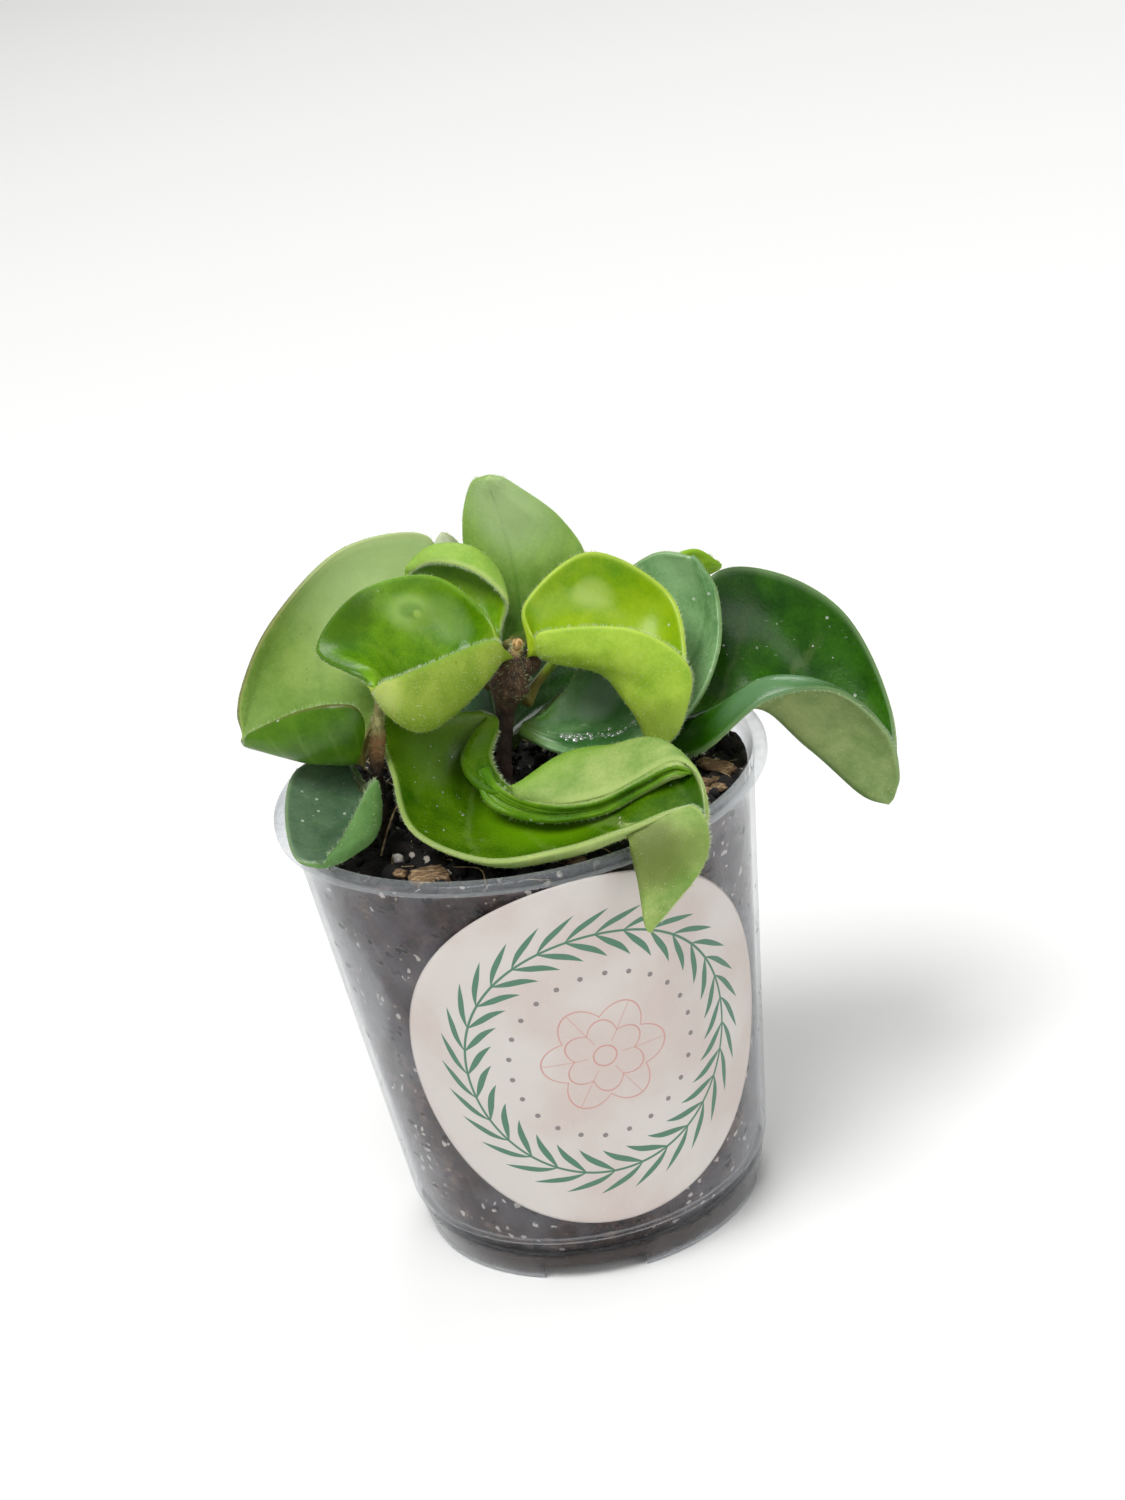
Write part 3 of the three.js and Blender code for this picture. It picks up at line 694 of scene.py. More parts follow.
def stickerPaper(plan):
    finish = Finish("stickerPaper")
    x = finish.attribute("printAcross")
    y = finish.attribute("printUp")
    away = (x * x + y * y) ** 0.5
    angle = finish.node("ShaderNodeMath", {"operation": "ARCTAN2"}, [y, x])
    wash = finish.grain(14, 3)
    paper = finish.mix(wash.step(0.35, 0.65), tone(200, 187, 181), tone(207, 201, 196))
    paper = finish.mix(finish.grain(0.5, 2).step(0.6, 0.7) * 0.25, paper, tone(214, 204, 200))

    # wreath: slanting lozenges in two rings, leaning opposite ways, with a thin line between
    sprigs = 0
    for ring, lean in ((plan["wreathRadius"] + 1.7, 0.09), (plan["wreathRadius"] - 1.7, -0.09)):
        out = away - ring
        turns = (angle + out * lean) * (plan["sprigs"] / (2 * math.pi))
        off = abs(turns.fraction() - 0.5) * (ring * 2 * math.pi / plan["sprigs"])
        lozenge = 1 - (abs(out) / 1.75) ** 1.5 - off / 0.85
        sprigs = lozenge.step(-0.04, 0.04) + sprigs
    stem = 1 - abs(away - plan["wreathRadius"]).step(0.12, 0.22)
    paper = finish.mix((sprigs + stem).smaller(1), paper, tone(78, 122, 98))

    # rosette: six petals drawn twice as thin lines, round a small ring
    rose = 0
    for share, phase in ((1.0, 0.0), (0.66, math.pi / 2)):
        petal = (0.72 + 0.28 * abs((angle * 3 + phase).cosine())) * (plan["rosetteRadius"] * share)
        rose = (1 - abs(away - petal).step(0.06, 0.17)) + rose
    rose = (1 - abs(away - 1.5).step(0.06, 0.17)) + rose
    rays = abs((angle * 3).sine()) * away
    rose = (1 - rays.step(0.12, 0.32)) * (away > 2.2) * (away < plan["rosetteRadius"] * 0.98) * 0.7 + rose
    paper = finish.mix(rose.smaller(1) * 0.8, paper, tone(194, 138, 128))

    # grey beads between rosette and wreath
    turns = angle * (plan["beads"] / (2 * math.pi))
    off = abs(turns.fraction() - 0.5) * (plan["beadRing"] * 2 * math.pi / plan["beads"])
    bead = 1 - (off * off + (away - plan["beadRing"]) ** 2).step(0.09, 0.16)
    paper = finish.mix(bead * 0.85, paper, tone(110, 104, 104))
    ripple = finish.grain(7, 2, where=finish.stretched(1, 1, 0.4)) + finish.grain(0.4, 2) * 0.04
    bumps = finish.bump(ripple, 0.35)
    return finish.done(finish.surface(Base_Color=paper, Roughness=0.42, Normal=bumps,
                                      Specular_IOR_Level=0.4))


dress(bendTube("round_sticker", 150, 60, stickerPlace), stickerPaper(stickerPlan), "sticker", "label")
print("sticker made")


# stems: bent shoots with swollen joints and fine hairs, and the brown shoulders of the main leaf node.
# The bark's colours follow a value that goes from 0 to 1 along the shoot, and alongSpan gives the
# shoulders the values that the main stem has beside them

stemPlans = {
    "stem_main": {
        "spine": [
            (-2.2, 0, 57), (-1.9, 0, 63.5), (-0.8, 0, 69.5), (0.3, -0.3, 74), (1.8, -0.8, 78.2),
            (3.1, -1.4, 82),
        ],
        "radii": [1.5, 1.4, 1.2, 1.1, 1.1, 1.2, 1.3, 1.8, 2.7, 2.6, 1.5, 0.9, 0.75],
        "knobs": 0.2,
        "hairs": 420,
        "hairsFrom": 0.62,
    },
    "node_shoulders": {
        "spine": [
            (-1.9, -2.3, 78.0), (-0.5, -0.9, 77.7), (1.4, 0.1, 77.6), (3.7, -0.4, 78.3),
            (5.2, -1.3, 79.1),
        ],
        "radii": [0.6, 1.2, 1.9, 2.2, 2.0, 1.5, 0.7],
        "knobs": 0.3,
        "hairs": 120,
        "hairsFrom": 0.1,
        "alongSpan": (0.7, 0.8),
    },
    "stem_dried": {
        "spine": [
            (-18.3, -7, 57), (-18, -7.4, 64), (-17.4, -8.8, 71), (-16, -10.6, 77.4),
            (-15.2, -11.8, 81.8),
        ],
        "radii": [1.0, 0.9, 0.8, 0.8, 0.8, 0.95, 1.1, 1.0, 0.85, 0.7, 0.3],
        "knobs": 0.3,
        "hairs": 60,
        "hairsFrom": 0.6,
    },
    "stem_right": {
        "spine": [(15.4, 8, 57), (15.6, 7.8, 62), (16, 7.4, 67)],
        "radii": [1.2, 1.2, 1.3, 0.9],
        "knobs": 0.16,
        "hairs": 120,
        "hairsFrom": 0.4,
    },
}


def stemPlace(plan):
    def place(t, turn):
        middle = smoothLine(plan["spine"], t)
        along = unit(smoothLine(plan["spine"], t + 0.01) - smoothLine(plan["spine"], t - 0.01))
        side = unit(np.cross((0, 1, 0), along))
        front = np.cross(along, side)
        angle = turn * 2 * math.pi
        outwards = side * np.cos(angle)[:, None] + front * np.sin(angle)[:, None]
        radii = np.interp(t, np.linspace(0, 1, len(plan["radii"])), plan["radii"])
        knobs = [noise.fractal(Vector(p), 0.7, 2.2, 3) for p in middle * 0.9 + outwards * 0.8]
        radii = radii + plan["knobs"] * (np.array(knobs) - 0.35)
        ends = np.sqrt(np.clip(np.minimum(t, 1 - t) / 0.02, 0.02, 1))
        low, high = plan.get("alongSpan", (0, 1))
        return middle + outwards * (radii * ends)[:, None], {"along": blendTo(low, high, t)}
    return place


def stemBark():
    finish = Finish("stemBark")
    along = finish.attribute("along")
    fibres = finish.grain(0.8, 4, 0.65, where=finish.stretched(1, 1, 0.35))
    tones = [(0.3, tone(44, 28, 20)), (0.5, tone(76, 52, 36)), (0.72, tone(112, 84, 58))]
    bark = finish.ramp(fibres, *tones)
    green = finish.grain(2.4, 3).step(0.5, 0.62)
    bark = finish.mix(green * 0.45, bark, tone(80, 80, 46))
    bud = finish.mix(finish.grain(0.6, 3).step(0.4, 0.6), tone(150, 108, 60), tone(210, 176, 116))
    # the lower part of each shoot is painted darker: painted shade under the leaves
    bark = finish.mix((1 - along.step(0.42, 0.66)) * 0.7, bark, tone(40, 30, 24))
    color = finish.mix(along.step(0.88, 0.95), bark, bud)
    bumps = finish.bump(fibres + finish.grain(0.4, 3) * 0.5, 0.35)
    return finish.done(finish.surface(Base_Color=color, Roughness=0.72, Normal=bumps))


def driedBark():
    finish = Finish("driedBark")
    along = finish.attribute("along")
    folds = finish.grain(0.7, 4, 0.7, where=finish.stretched(1.6, 1.6, 0.25))
    tones = [(0.28, tone(96, 90, 46)), (0.5, tone(160, 154, 96)), (0.75, tone(206, 200, 148))]
    color = finish.ramp(folds, *tones)
    color = finish.mix(finish.grain(1.8, 3).step(0.5, 0.62) * 0.5, color, tone(124, 112, 62))
    color = finish.mix((1 - along.step(0.68, 0.76)) * 0.75, color, tone(120, 70, 38))
    # the lower part is painted near black: painted shade under the leaves
    color = finish.mix((1 - along.step(0.5, 0.64)) * 0.9, color, tone(26, 22, 18))
    bumps = finish.bump(folds, 0.5)
    return finish.done(finish.surface(Base_Color=color, Roughness=0.8, Normal=bumps))


def hairFinish():
    finish = Finish("leafHair")
    return finish.done(finish.surface(Base_Color=tone(200, 214, 158), Roughness=0.55, Subsurface_Weight=0.3,
                                      Subsurface_Scale=0.0006))


hairMaterial = hairFinish()


# short tapering hairs, each three-sided, standing at bases along headings
def addHairs(name, bases, headings, lengths, width, slotName):
    whole = bmesh.new()
    batch = 300
    for first in range(0, len(bases), batch):
        part = bmesh.new()
        last = first + batch
        for base, heading, length in zip(bases[first:last], headings[first:last], lengths[first:last]):
            turn = Vector(heading).to_track_quat("Z", "Y").to_matrix().to_4x4()
            middle = Matrix.Translation(atPot(base + heading * length * 0.48))
            bmesh.ops.create_cone(part, cap_ends=False, segments=3, depth=length * mm,
                                  radius1=width * mm, radius2=width * 0.15 * mm, matrix=middle @ turn)
        pour(part, whole)
    dress(meshObject(name, whole), hairMaterial, slotName)


def addStems(plans):
    bark, dried = stemBark(), driedBark()
    for name, plan in plans.items():
        place = stemPlace(plan)
        material, slotName = (dried, "dried_stem") if name == "stem_dried" else (bark, "stem_bark")
        stands = [name] if name in frame["nodes"] else []
        dress(bendTube(name + "_shoot", 28, 110, place), material, slotName, *stands)
        t = dice.uniform(plan["hairsFrom"], 0.97, plan["hairs"])
        turn = dice.uniform(0, 1, plan["hairs"])
        outer = place(t, turn)[0]
        headings = unit(unit(outer - smoothLine(plan["spine"], t)) + dice.normal(0, 0.35, outer.shape))
        lengths = dice.uniform(0.25, 0.6, len(t))
        addHairs(name + "_hairs", outer - headings * 0.05, headings, lengths, 0.028, slotName)


addStems(stemPlans)
print("stems made")


# leaves: thick folded blades between a rib and two edges, which run from petiole to tip.
# The edges share the rib's ends, and a bow pushes a half out of its straight line from rib to edge.
# t goes from 0 at the petiole to 1 at the tip, v from -1 at the near edge to 1 at the far one.
# A dent is t, v, length, width and depth, and a patch is t, v, length, width, colour and share; most
# patches are painted light (painted highlights, painted sheen, paler tops where light falls, painted shade)
# and a few are the leaf's own tone.
# A wet spot is t, v, length and width. fuzz counts the hairs of near rim, far rim and underside

bladePlan = {
    "thickness": 1.1,
    "petioleHalf": 1.1,
    "tipHalf": 0.35,
    "petioleThickness": 2.1,
    "petioleShare": 0.1,
    "edgeThinning": 0.3,
    "foldSoftness": 0.07,
    "columns": 38,
    "rimSteps": 5,
    "rows": 96,
    "ripple": 0.1,
}

# what a leaf has where its own plan says nothing else
commonLeaf = {
    "nearBow": [(0, 0, 0)],
    "farBow": [(0, 0, 0)],
    "insideUpper": True,
    "dents": [],
    "paintedLightAndTonePatches": [],
    "wet": [],
}

leafPlans = {
    "leaf_left_large": {
        "rib": [
            (-19.2, -8.9, 73.2), (-21.5, -9, 72.8), (-25.4, -8, 73.8), (-29.5, -7, 75.5), (-33.7, -5, 77),
        ],
        "near": [(-18, -12, 80.5), (-20.6, -12, 81.9), (-25.2, -10, 81), (-29.7, -8, 79.2)],
        "far": [(-7.8, 11.4, 84.0), (-6.2, 15, 92), (-17, 11, 93.8), (-27.2, 5, 88), (-32.5, -1, 81.7)],
        "nearBow": [(0, -2, -1)],
        "farBow": [(0, 4, 0)],
        "insideUpper": False,
        "dents": [(0.55, 0.45, 0.12, 0.35, 0.5)],
        "upper": [(46, 86, 4), (80, 122, 12)],
        "under": [(100, 138, 46), (148, 176, 86)],
        "margin": (112, 84, 60),
        "petiole": (120, 90, 60),
        "gloss": 0.34,
        "scuffs": 0.25,
        "fuzz": (150, 200, 400),
        # the first patch paints the top of the blade paler where light falls on it: painted light
        "paintedLightAndTonePatches": [
            (0.36, 0.95, 0.3, 0.7, (196, 218, 156), 0.55),
            (0.9, 0.3, 0.2, 0.6, (112, 142, 64), 0.4),
        ],
    },
    "leaf_left_young": {
        "rib": [
            (0.9, -3.0, 81.9), (-4.3, -5, 78.5), (-10.2, -9, 76.5), (-13.5, -13, 80.5),
            (-14.9, -15, 84.8),
        ],
        "near": [(-0.8, -6.2, 84.4), (-8.1, -12, 85), (-12.1, -15, 85.2)],
        "far": [(-0.9, 2, 85.2), (-6.6, 4, 90.4), (-15.6, 1, 91.2), (-21.7, -7, 88.2), (-18.4, -13, 86.6)],
        "nearBow": [(0, -3, -2)],
        "farBow": [(-1, 3, -2), (0.2, 2, -0.4), (1.9, 0.6, 1.7)],
        "dents": [(0.39, 0.75, 0.05, 0.1, -0.45)],
        "upper": [(60, 112, 2), (118, 164, 12)],
        "under": [(112, 144, 32), (156, 176, 66)],
        "margin": (104, 146, 44),
        "petiole": (124, 150, 34),
        "gloss": 0.27,
        "scuffs": 0.12,
        "fuzz": (450, 60, 1400),
        # the second to fourth patches paint a highlight ring with a bright spot on the bulge: painted
        # highlight
        "paintedLightAndTonePatches": [
            (0.85, 1.0, 0.3, 0.2, (64, 104, 16), 0.85),
            (0.39, 0.75, 0.085, 0.17, (158, 192, 92), 0.6),
            (0.4, 0.76, 0.04, 0.08, (92, 138, 24), 0.75),
            (0.385, 0.73, 0.016, 0.04, (170, 198, 92), 0.8),
            (0.27, 0.72, 0.1, 0.25, (150, 182, 110), 0.4),
            (0.9, -0.7, 0.2, 0.5, (176, 186, 110), 0.5),
            (0.57, 0.92, 0.13, 0.25, (58, 92, 0), 0.7),
        ],
        "wet": [(0.39, 0.75, 0.12, 0.2)],
    },
    "leaf_hood": {
        "rib": [(-0.8, 1.5, 79), (-3.4, 5, 81), (-7, 6.5, 84), (-9.5, 7.5, 87.5), (-9.9, 8, 89.6)],
        "near": [(-3, 3.5, 81.5), (-7, 5, 85), (-9.4, 6, 87.8)],
        "far": [(0.9, 4.2, 82.0), (1.8, 4.2, 85.4), (-1.3, 5.2, 89.5), (-6.0, 7.2, 90.8)],
        "farBow": [(1.1, 1.8, 1.8), (2.6, 3.8, 3.6), (1.6, 2.4, 2.4)],
        # the upper tones are raised so the inside of the hood reads bright: the leaf's own yellow-green
        # with painted light
        "upper": [(96, 150, 10), (150, 196, 30)],
        "under": [(112, 158, 46), (158, 190, 84)],
        "margin": (196, 206, 140),
        "petiole": (110, 80, 50),
        "gloss": 0.32,
        "scuffs": 0.1,
        "fuzz": (100, 700, 500),
    },
    "leaf_top": {
        "rib": [(1.7, 1.3, 79.2), (3.3, 10.6, 79.8), (3.7, 13, 88), (3.2, 13, 95.3), (3, 12, 100.1)],
        "near": [(0.9, 9.4, 77.6), (-1.4, 14, 86.8), (-1.1, 15, 93.4), (0.8, 14, 98.4)],
        "far": [(6.6, 11.4, 76.4), (13.2, 15, 83.6), (11.1, 16, 90.7), (5.8, 14, 97.4)],
        "nearBow": [(0, -1, 0)],
        "farBow": [(0, -1, 0)],
        "dents": [(0.6, 0.3, 0.1, 0.3, -0.4)],
        "upper": [(50, 104, 20), (84, 140, 40)],
        "under": [(92, 138, 40), (146, 180, 84)],
        "margin": (158, 180, 110),
        "petiole": (110, 84, 56),
        "gloss": 0.4,
        "scuffs": 0.3,
        "fuzz": (150, 150, 300),
        # the patch paints the upper blade paler where light falls on it: painted light
        "paintedLightAndTonePatches": [(0.85, 0.1, 0.42, 1.3, (190, 210, 158), 0.6)],
        "wet": [(0.6, -0.3, 0.15, 0.3)],
    },
    "leaf_back_left": {
        "rib": [(-0.9, 2.3, 74.3), (-1.9, 10.5, 75.8), (-3.1, 15, 83.5), (-4.5, 18, 91.3)],
        "near": [(-6, 14, 76.6), (-7.7, 17.5, 85)],
        "far": [(1.5, 16, 81.2), (-1.5, 18, 86.8)],
        "nearBow": [(0, -1, 0)],
        "farBow": [(0, -1, 0)],
        "upper": [(60, 112, 30), (92, 146, 52)],
        "under": [(118, 140, 84), (160, 176, 122)],
        "margin": (206, 200, 180),
        "petiole": (110, 84, 56),
        "gloss": 0.42,
        "scuffs": 0.3,
        "fuzz": (100, 100, 150),
        "paintedLightAndTonePatches": [(0.95, -0.3, 0.36, 1.4, (206, 212, 184), 0.8)],
    },
    "leaf_right_young": {
        "rib": [(4.9, -2.5, 81.3), (7.8, -3, 79), (12.6, -5, 77.6), (16, -7.5, 72.8), (18.3, -9.5, 66.7)],
        "near": [(6.8, -4.5, 83.7), (17.3, -8, 83.2), (23.4, -9, 77.5), (21.7, -10, 70.9)],
        "far": [(5.1, 3.5, 85), (14.1, 7, 88.7), (22.7, 5, 82.6), (23.4, -2, 76.8), (21, -7, 71)],
        "nearBow": [(0, -1.5, -1)],
        "farBow": [(0, 3, -2)],
        "dents": [(0.45, 0.5, 0.14, 0.3, 0.5)],
        "upper": [(98, 146, 0), (150, 180, 6)],
        "under": [(126, 166, 32), (178, 204, 72)],
        "margin": (190, 210, 90),
        "petiole": (150, 174, 20),
        "gloss": 0.3,
        "scuffs": 0.12,
        "fuzz": (500, 350, 1400),
        # the first patch is a painted highlight
        "paintedLightAndTonePatches": [
            (0.35, 0.68, 0.07, 0.16, (184, 206, 110), 0.5),
            (0.84, -0.5, 0.2, 0.8, (116, 138, 46), 0.6),
        ],
        "wet": [(0.35, 0.68, 0.12, 0.25)],
    },
    "leaf_right_bowl": {
        "rib": [
            (1.35, 0.2, 69.5), (6, -2, 67.8), (13.8, -1, 66.7), (21.9, 3, 69.4), (27.4, 7, 76.7),
            (27.1, 9, 85.1),
        ],
        "near": [(5.7, -4, 66.7), (12.8, -5, 64.4), (22.4, -3, 68.2), (28, 2, 74.3), (29.2, 7, 80.6)],
        "far": [(5.2, 1, 70.8), (10.2, 4, 74.4), (14.4, 8, 81.7), (21.8, 11, 85.4)],
        "farBow": [(0, 1, -1)],
        # the upper tones are raised to lighten the shaded bowl: the leaf's own blue-green with painted
        # light
        "upper": [(70, 118, 62), (136, 174, 120)],
        "under": [(98, 140, 84), (140, 176, 118)],
        "margin": (112, 142, 84),
        "petiole": (84, 112, 36),
        "gloss": 0.24,
        "scuffs": 0.9,
        "fuzz": (60, 120, 100),
        # the first patch paints the top of the blade paler where light falls on it: painted light
        "paintedLightAndTonePatches": [
            (0.9, 0.6, 0.14, 0.6, (150, 184, 134), 0.5),
            (0.3, -0.15, 0.2, 0.5, (34, 86, 30), 0.8),
            (0.4, 0.55, 0.12, 0.3, (150, 172, 152), 0.6),
            (0.16, 0.95, 0.12, 0.3, (80, 136, 30), 0.9),
        ],
        "wet": [(0.36, 0.25, 0.14, 0.6)],
    },
    "leaf_front": {
        "rib": [
            (-2.6, -3.4, 73.3), (-4, -3.7, 71), (-4.8, -5.4, 67.4), (-3.4, -9.8, 64.3),
            (0.6, -15.5, 63.5), (5.6, -20.5, 63.7), (9.8, -25.5, 64.8), (11.9, -30.6, 65.4),
            (12.7, -33.6, 61.5), (13, -34.9, 54.9),
        ],
        "near": [
            (-15.4, -2.9, 75.7), (-15.1, -11.8, 71), (-13.5, -20, 67), (-5.5, -26.5, 64.6),
            (3.5, -29.4, 65.6), (11.6, -31.6, 67.8), (20, -30, 68.2), (20.9, -33, 63),
        ],
        "far": [
            (-1.5, -4.8, 71.5), (-2.7, -8.5, 69.6), (-0.9, -13.5, 67.6), (4, -20, 66.7),
            (12.1, -23, 68.2), (19.3, -24, 71.2), (21.8, -28, 68.4), (20.3, -32.3, 63.8),
        ],
        "nearBow": [(0, 0, -1.5), (0, -1, -2), (0, -1, -1.6), (0, 0, -0.4), (-0.5, -0.5, 0)],
        "farBow": [
            (-1.8, -1.5, 0.8), (-3, -2.3, 1.3), (-2.8, -2.1, 1.5), (-1.6, 0, 2), (1, 6.4, 4.4),
            (1.6, 7.6, 3.6), (1.2, 7.4, 2), (0, 4, 1.2), (0, 1.2, 0.8),
        ],
        "dents": [(0.62, -0.5, 0.08, 0.3, 0.4)],
        "upper": [(36, 80, 0), (86, 124, 8)],
        "under": [(104, 142, 56), (164, 182, 106)],
        "margin": (182, 200, 120),
        "petiole": (100, 132, 36),
        "gloss": 0.26,
        "scuffs": 0.35,
        "fuzz": (900, 700, 1700),
        # the first two patches paint the downturned tip darker: painted shade; the last paints the middle
        # of the band paler against the shade under the hood: painted light
        "paintedLightAndTonePatches": [
            (0.83, -0.3, 0.1, 0.5, (84, 98, 38), 0.8),
            (0.87, -0.3, 0.07, 1.0, (92, 106, 40), 0.6),
            (0.16, -0.5, 0.08, 0.35, (120, 156, 70), 0.35),
            (0.46, 0.2, 0.22, 0.7, (108, 158, 8), 0.75),
        ],
        "wet": [(0.17, -0.6, 0.1, 0.4)],
    },
    "leaf_front_lip": {
        "partOf": "leaf_front",
        "rib": [
            (-4.6, -11.2, 69.4), (-3.7, -14, 67.2), (-1, -17, 66), (2.6, -20.2, 65.9), (6.2, -22, 66.2),
            (10, -23.4, 67), (14.5, -24.2, 69), (18.7, -24.6, 70.6), (21.2, -25.4, 70.1),
        ],
        "near": [
            (-4.7, -14.7, 66.8), (-1.6, -17.7, 65.3), (2.3, -20.9, 65.2), (6.2, -22.7, 65.6),
            (10.1, -24.1, 66.7), (14.6, -24.9, 68.8), (18.7, -25.3, 70.6),
        ],
        "far": [
            (-2.6, -14.6, 68.2), (-0.4, -17.6, 67.3), (2.8, -20.8, 67.2), (6.3, -22.6, 67.3),
            (9.9, -24, 68), (14.4, -24.8, 69.7), (18.6, -25.2, 71.2),
        ],
        # paler upper tones than the rest of the front leaf: painted light on the raised band
        "upper": [(52, 100, 2), (104, 148, 16)],
        "under": [(104, 142, 56), (164, 182, 106)],
        "margin": (150, 180, 80),
        "petiole": (64, 112, 8),
        "gloss": 0.3,
        "scuffs": 0.3,
        "fuzz": (60, 420, 0),
    },
    "leaf_right_large": {
        "rib": [
            (17.9, 6.3, 65), (24.6, 2, 65.7), (32.9, -1, 66.1), (38.0, -2, 59.4), (43.6, -3, 52.8),
            (47.5, -3, 51.4),
        ],
        "near": [
            (18, -3, 63.8), (23.3, -8, 65), (32.3, -9, 70.9), (41.3, -9, 70.6), (47.5, -7, 62.9),
            (48.7, -5, 55.4),
        ],
        "far": [(24.8, 10, 70.3), (29.6, 14, 79.8), (38.1, 15, 78.4), (46.2, 12, 71.9), (49.5, 5, 61)],
        "nearBow": [(0, 1, 4)],
        "farBow": [(0, 3, -3)],
        "dents": [(0.5, 0.5, 0.14, 0.3, 0.6)],
        "upper": [(22, 66, 0), (54, 108, 6)],
        "under": [(112, 140, 76), (160, 176, 112)],
        "margin": (130, 156, 110),
        "petiole": (70, 80, 40),
        "gloss": 0.25,
        "scuffs": 0.45,
        "fuzz": (120, 100, 200),
        # the first patch is a painted sheen on the crest
        "paintedLightAndTonePatches": [
            (0.45, -0.78, 0.16, 0.3, (122, 160, 122), 0.45),
            (0.38, 0.75, 0.12, 0.45, (8, 42, 4), 0.6),
            (0.2, -0.5, 0.12, 0.6, (14, 54, 6), 0.6),
        ],
        "wet": [(0.4, -0.6, 0.3, 0.3)],
    },
    "leaf_front_left": {
        "rib": [
            (-19.9, -10.8, 69.4), (-18.7, -13.5, 67.4), (-19.4, -17, 66.1), (-22, -21, 66.2),
            (-25.5, -23, 66.4),
        ],
        "near": [(-17.9, -13.5, 71.6), (-19.1, -15.5, 70.9), (-20.9, -19, 69.3), (-23, -22, 67.6)],
        "far": [(-22, -4.5, 71.6), (-27.6, -5, 71.4), (-29.2, -13, 69.8), (-28.6, -21, 67.1)],
        "nearBow": [(0.5, -1, 0)],
        "farBow": [(0, 0, -1)],
        "upper": [(58, 88, 60), (104, 130, 100)],
        "under": [(70, 110, 50), (104, 144, 80)],
        "margin": (136, 160, 118),
        "petiole": (80, 84, 50),
        "gloss": 0.36,
        "scuffs": 0.9,
        "fuzz": (100, 80, 100),
    },
    "leaf_back_right_young": {
        "rib": [(2, 1.5, 73.2), (11.2, 13, 76.1), (19.9, 19, 76.5), (31.6, 22.6, 78.6)],
        "near": [(13.5, 12, 78.5), (26.5, 20, 82)],
        "far": [(13.7, 19, 76.2), (25.5, 25, 77.6)],
        "upper": [(110, 160, 10), (150, 192, 30)],
        "under": [(112, 158, 10), (146, 184, 36)],
        "margin": (130, 176, 20),
        "petiole": (120, 80, 58),
        "gloss": 0.32,
        "scuffs": 0.1,
        "fuzz": (120, 120, 200),
    },
    "leaf_back_right": {
        "rib": [(-0.4, 2, 67.6), (7.4, 10, 68), (14.6, 17, 67.6), (21, 24, 66.6)],
        "near": [(8, 7, 71), (17, 14, 70.6)],
        "far": [(3, 14, 72), (11, 22, 71)],
        "upper": [(24, 72, 12), (58, 112, 28)],
        "under": [(100, 146, 62), (148, 182, 96)],
        "margin": (130, 156, 110),
        "petiole": (70, 80, 40),
        "gloss": 0.28,
        "scuffs": 0.6,
        "fuzz": (120, 120, 200),
    },
    "leaf_back": {
        "rib": [(-2.3, 1.5, 67), (-8, 9, 69), (-13, 17, 68), (-16, 26, 66.2)],
        "near": [(-13, 6, 74), (-20, 15, 72)],
        "far": [(-3, 13, 74), (-8, 22, 72)],
        "nearBow": [(-1, 0, -1)],
        "farBow": [(1, 0, -1)],
        "upper": [(40, 84, 44), (80, 124, 80)],
        "under": [(98, 140, 84), (140, 176, 118)],
        "margin": (140, 164, 118),
        "petiole": (80, 84, 50),
        "gloss": 0.3,
        "scuffs": 0.6,
        "fuzz": (120, 120, 200),
    },
}


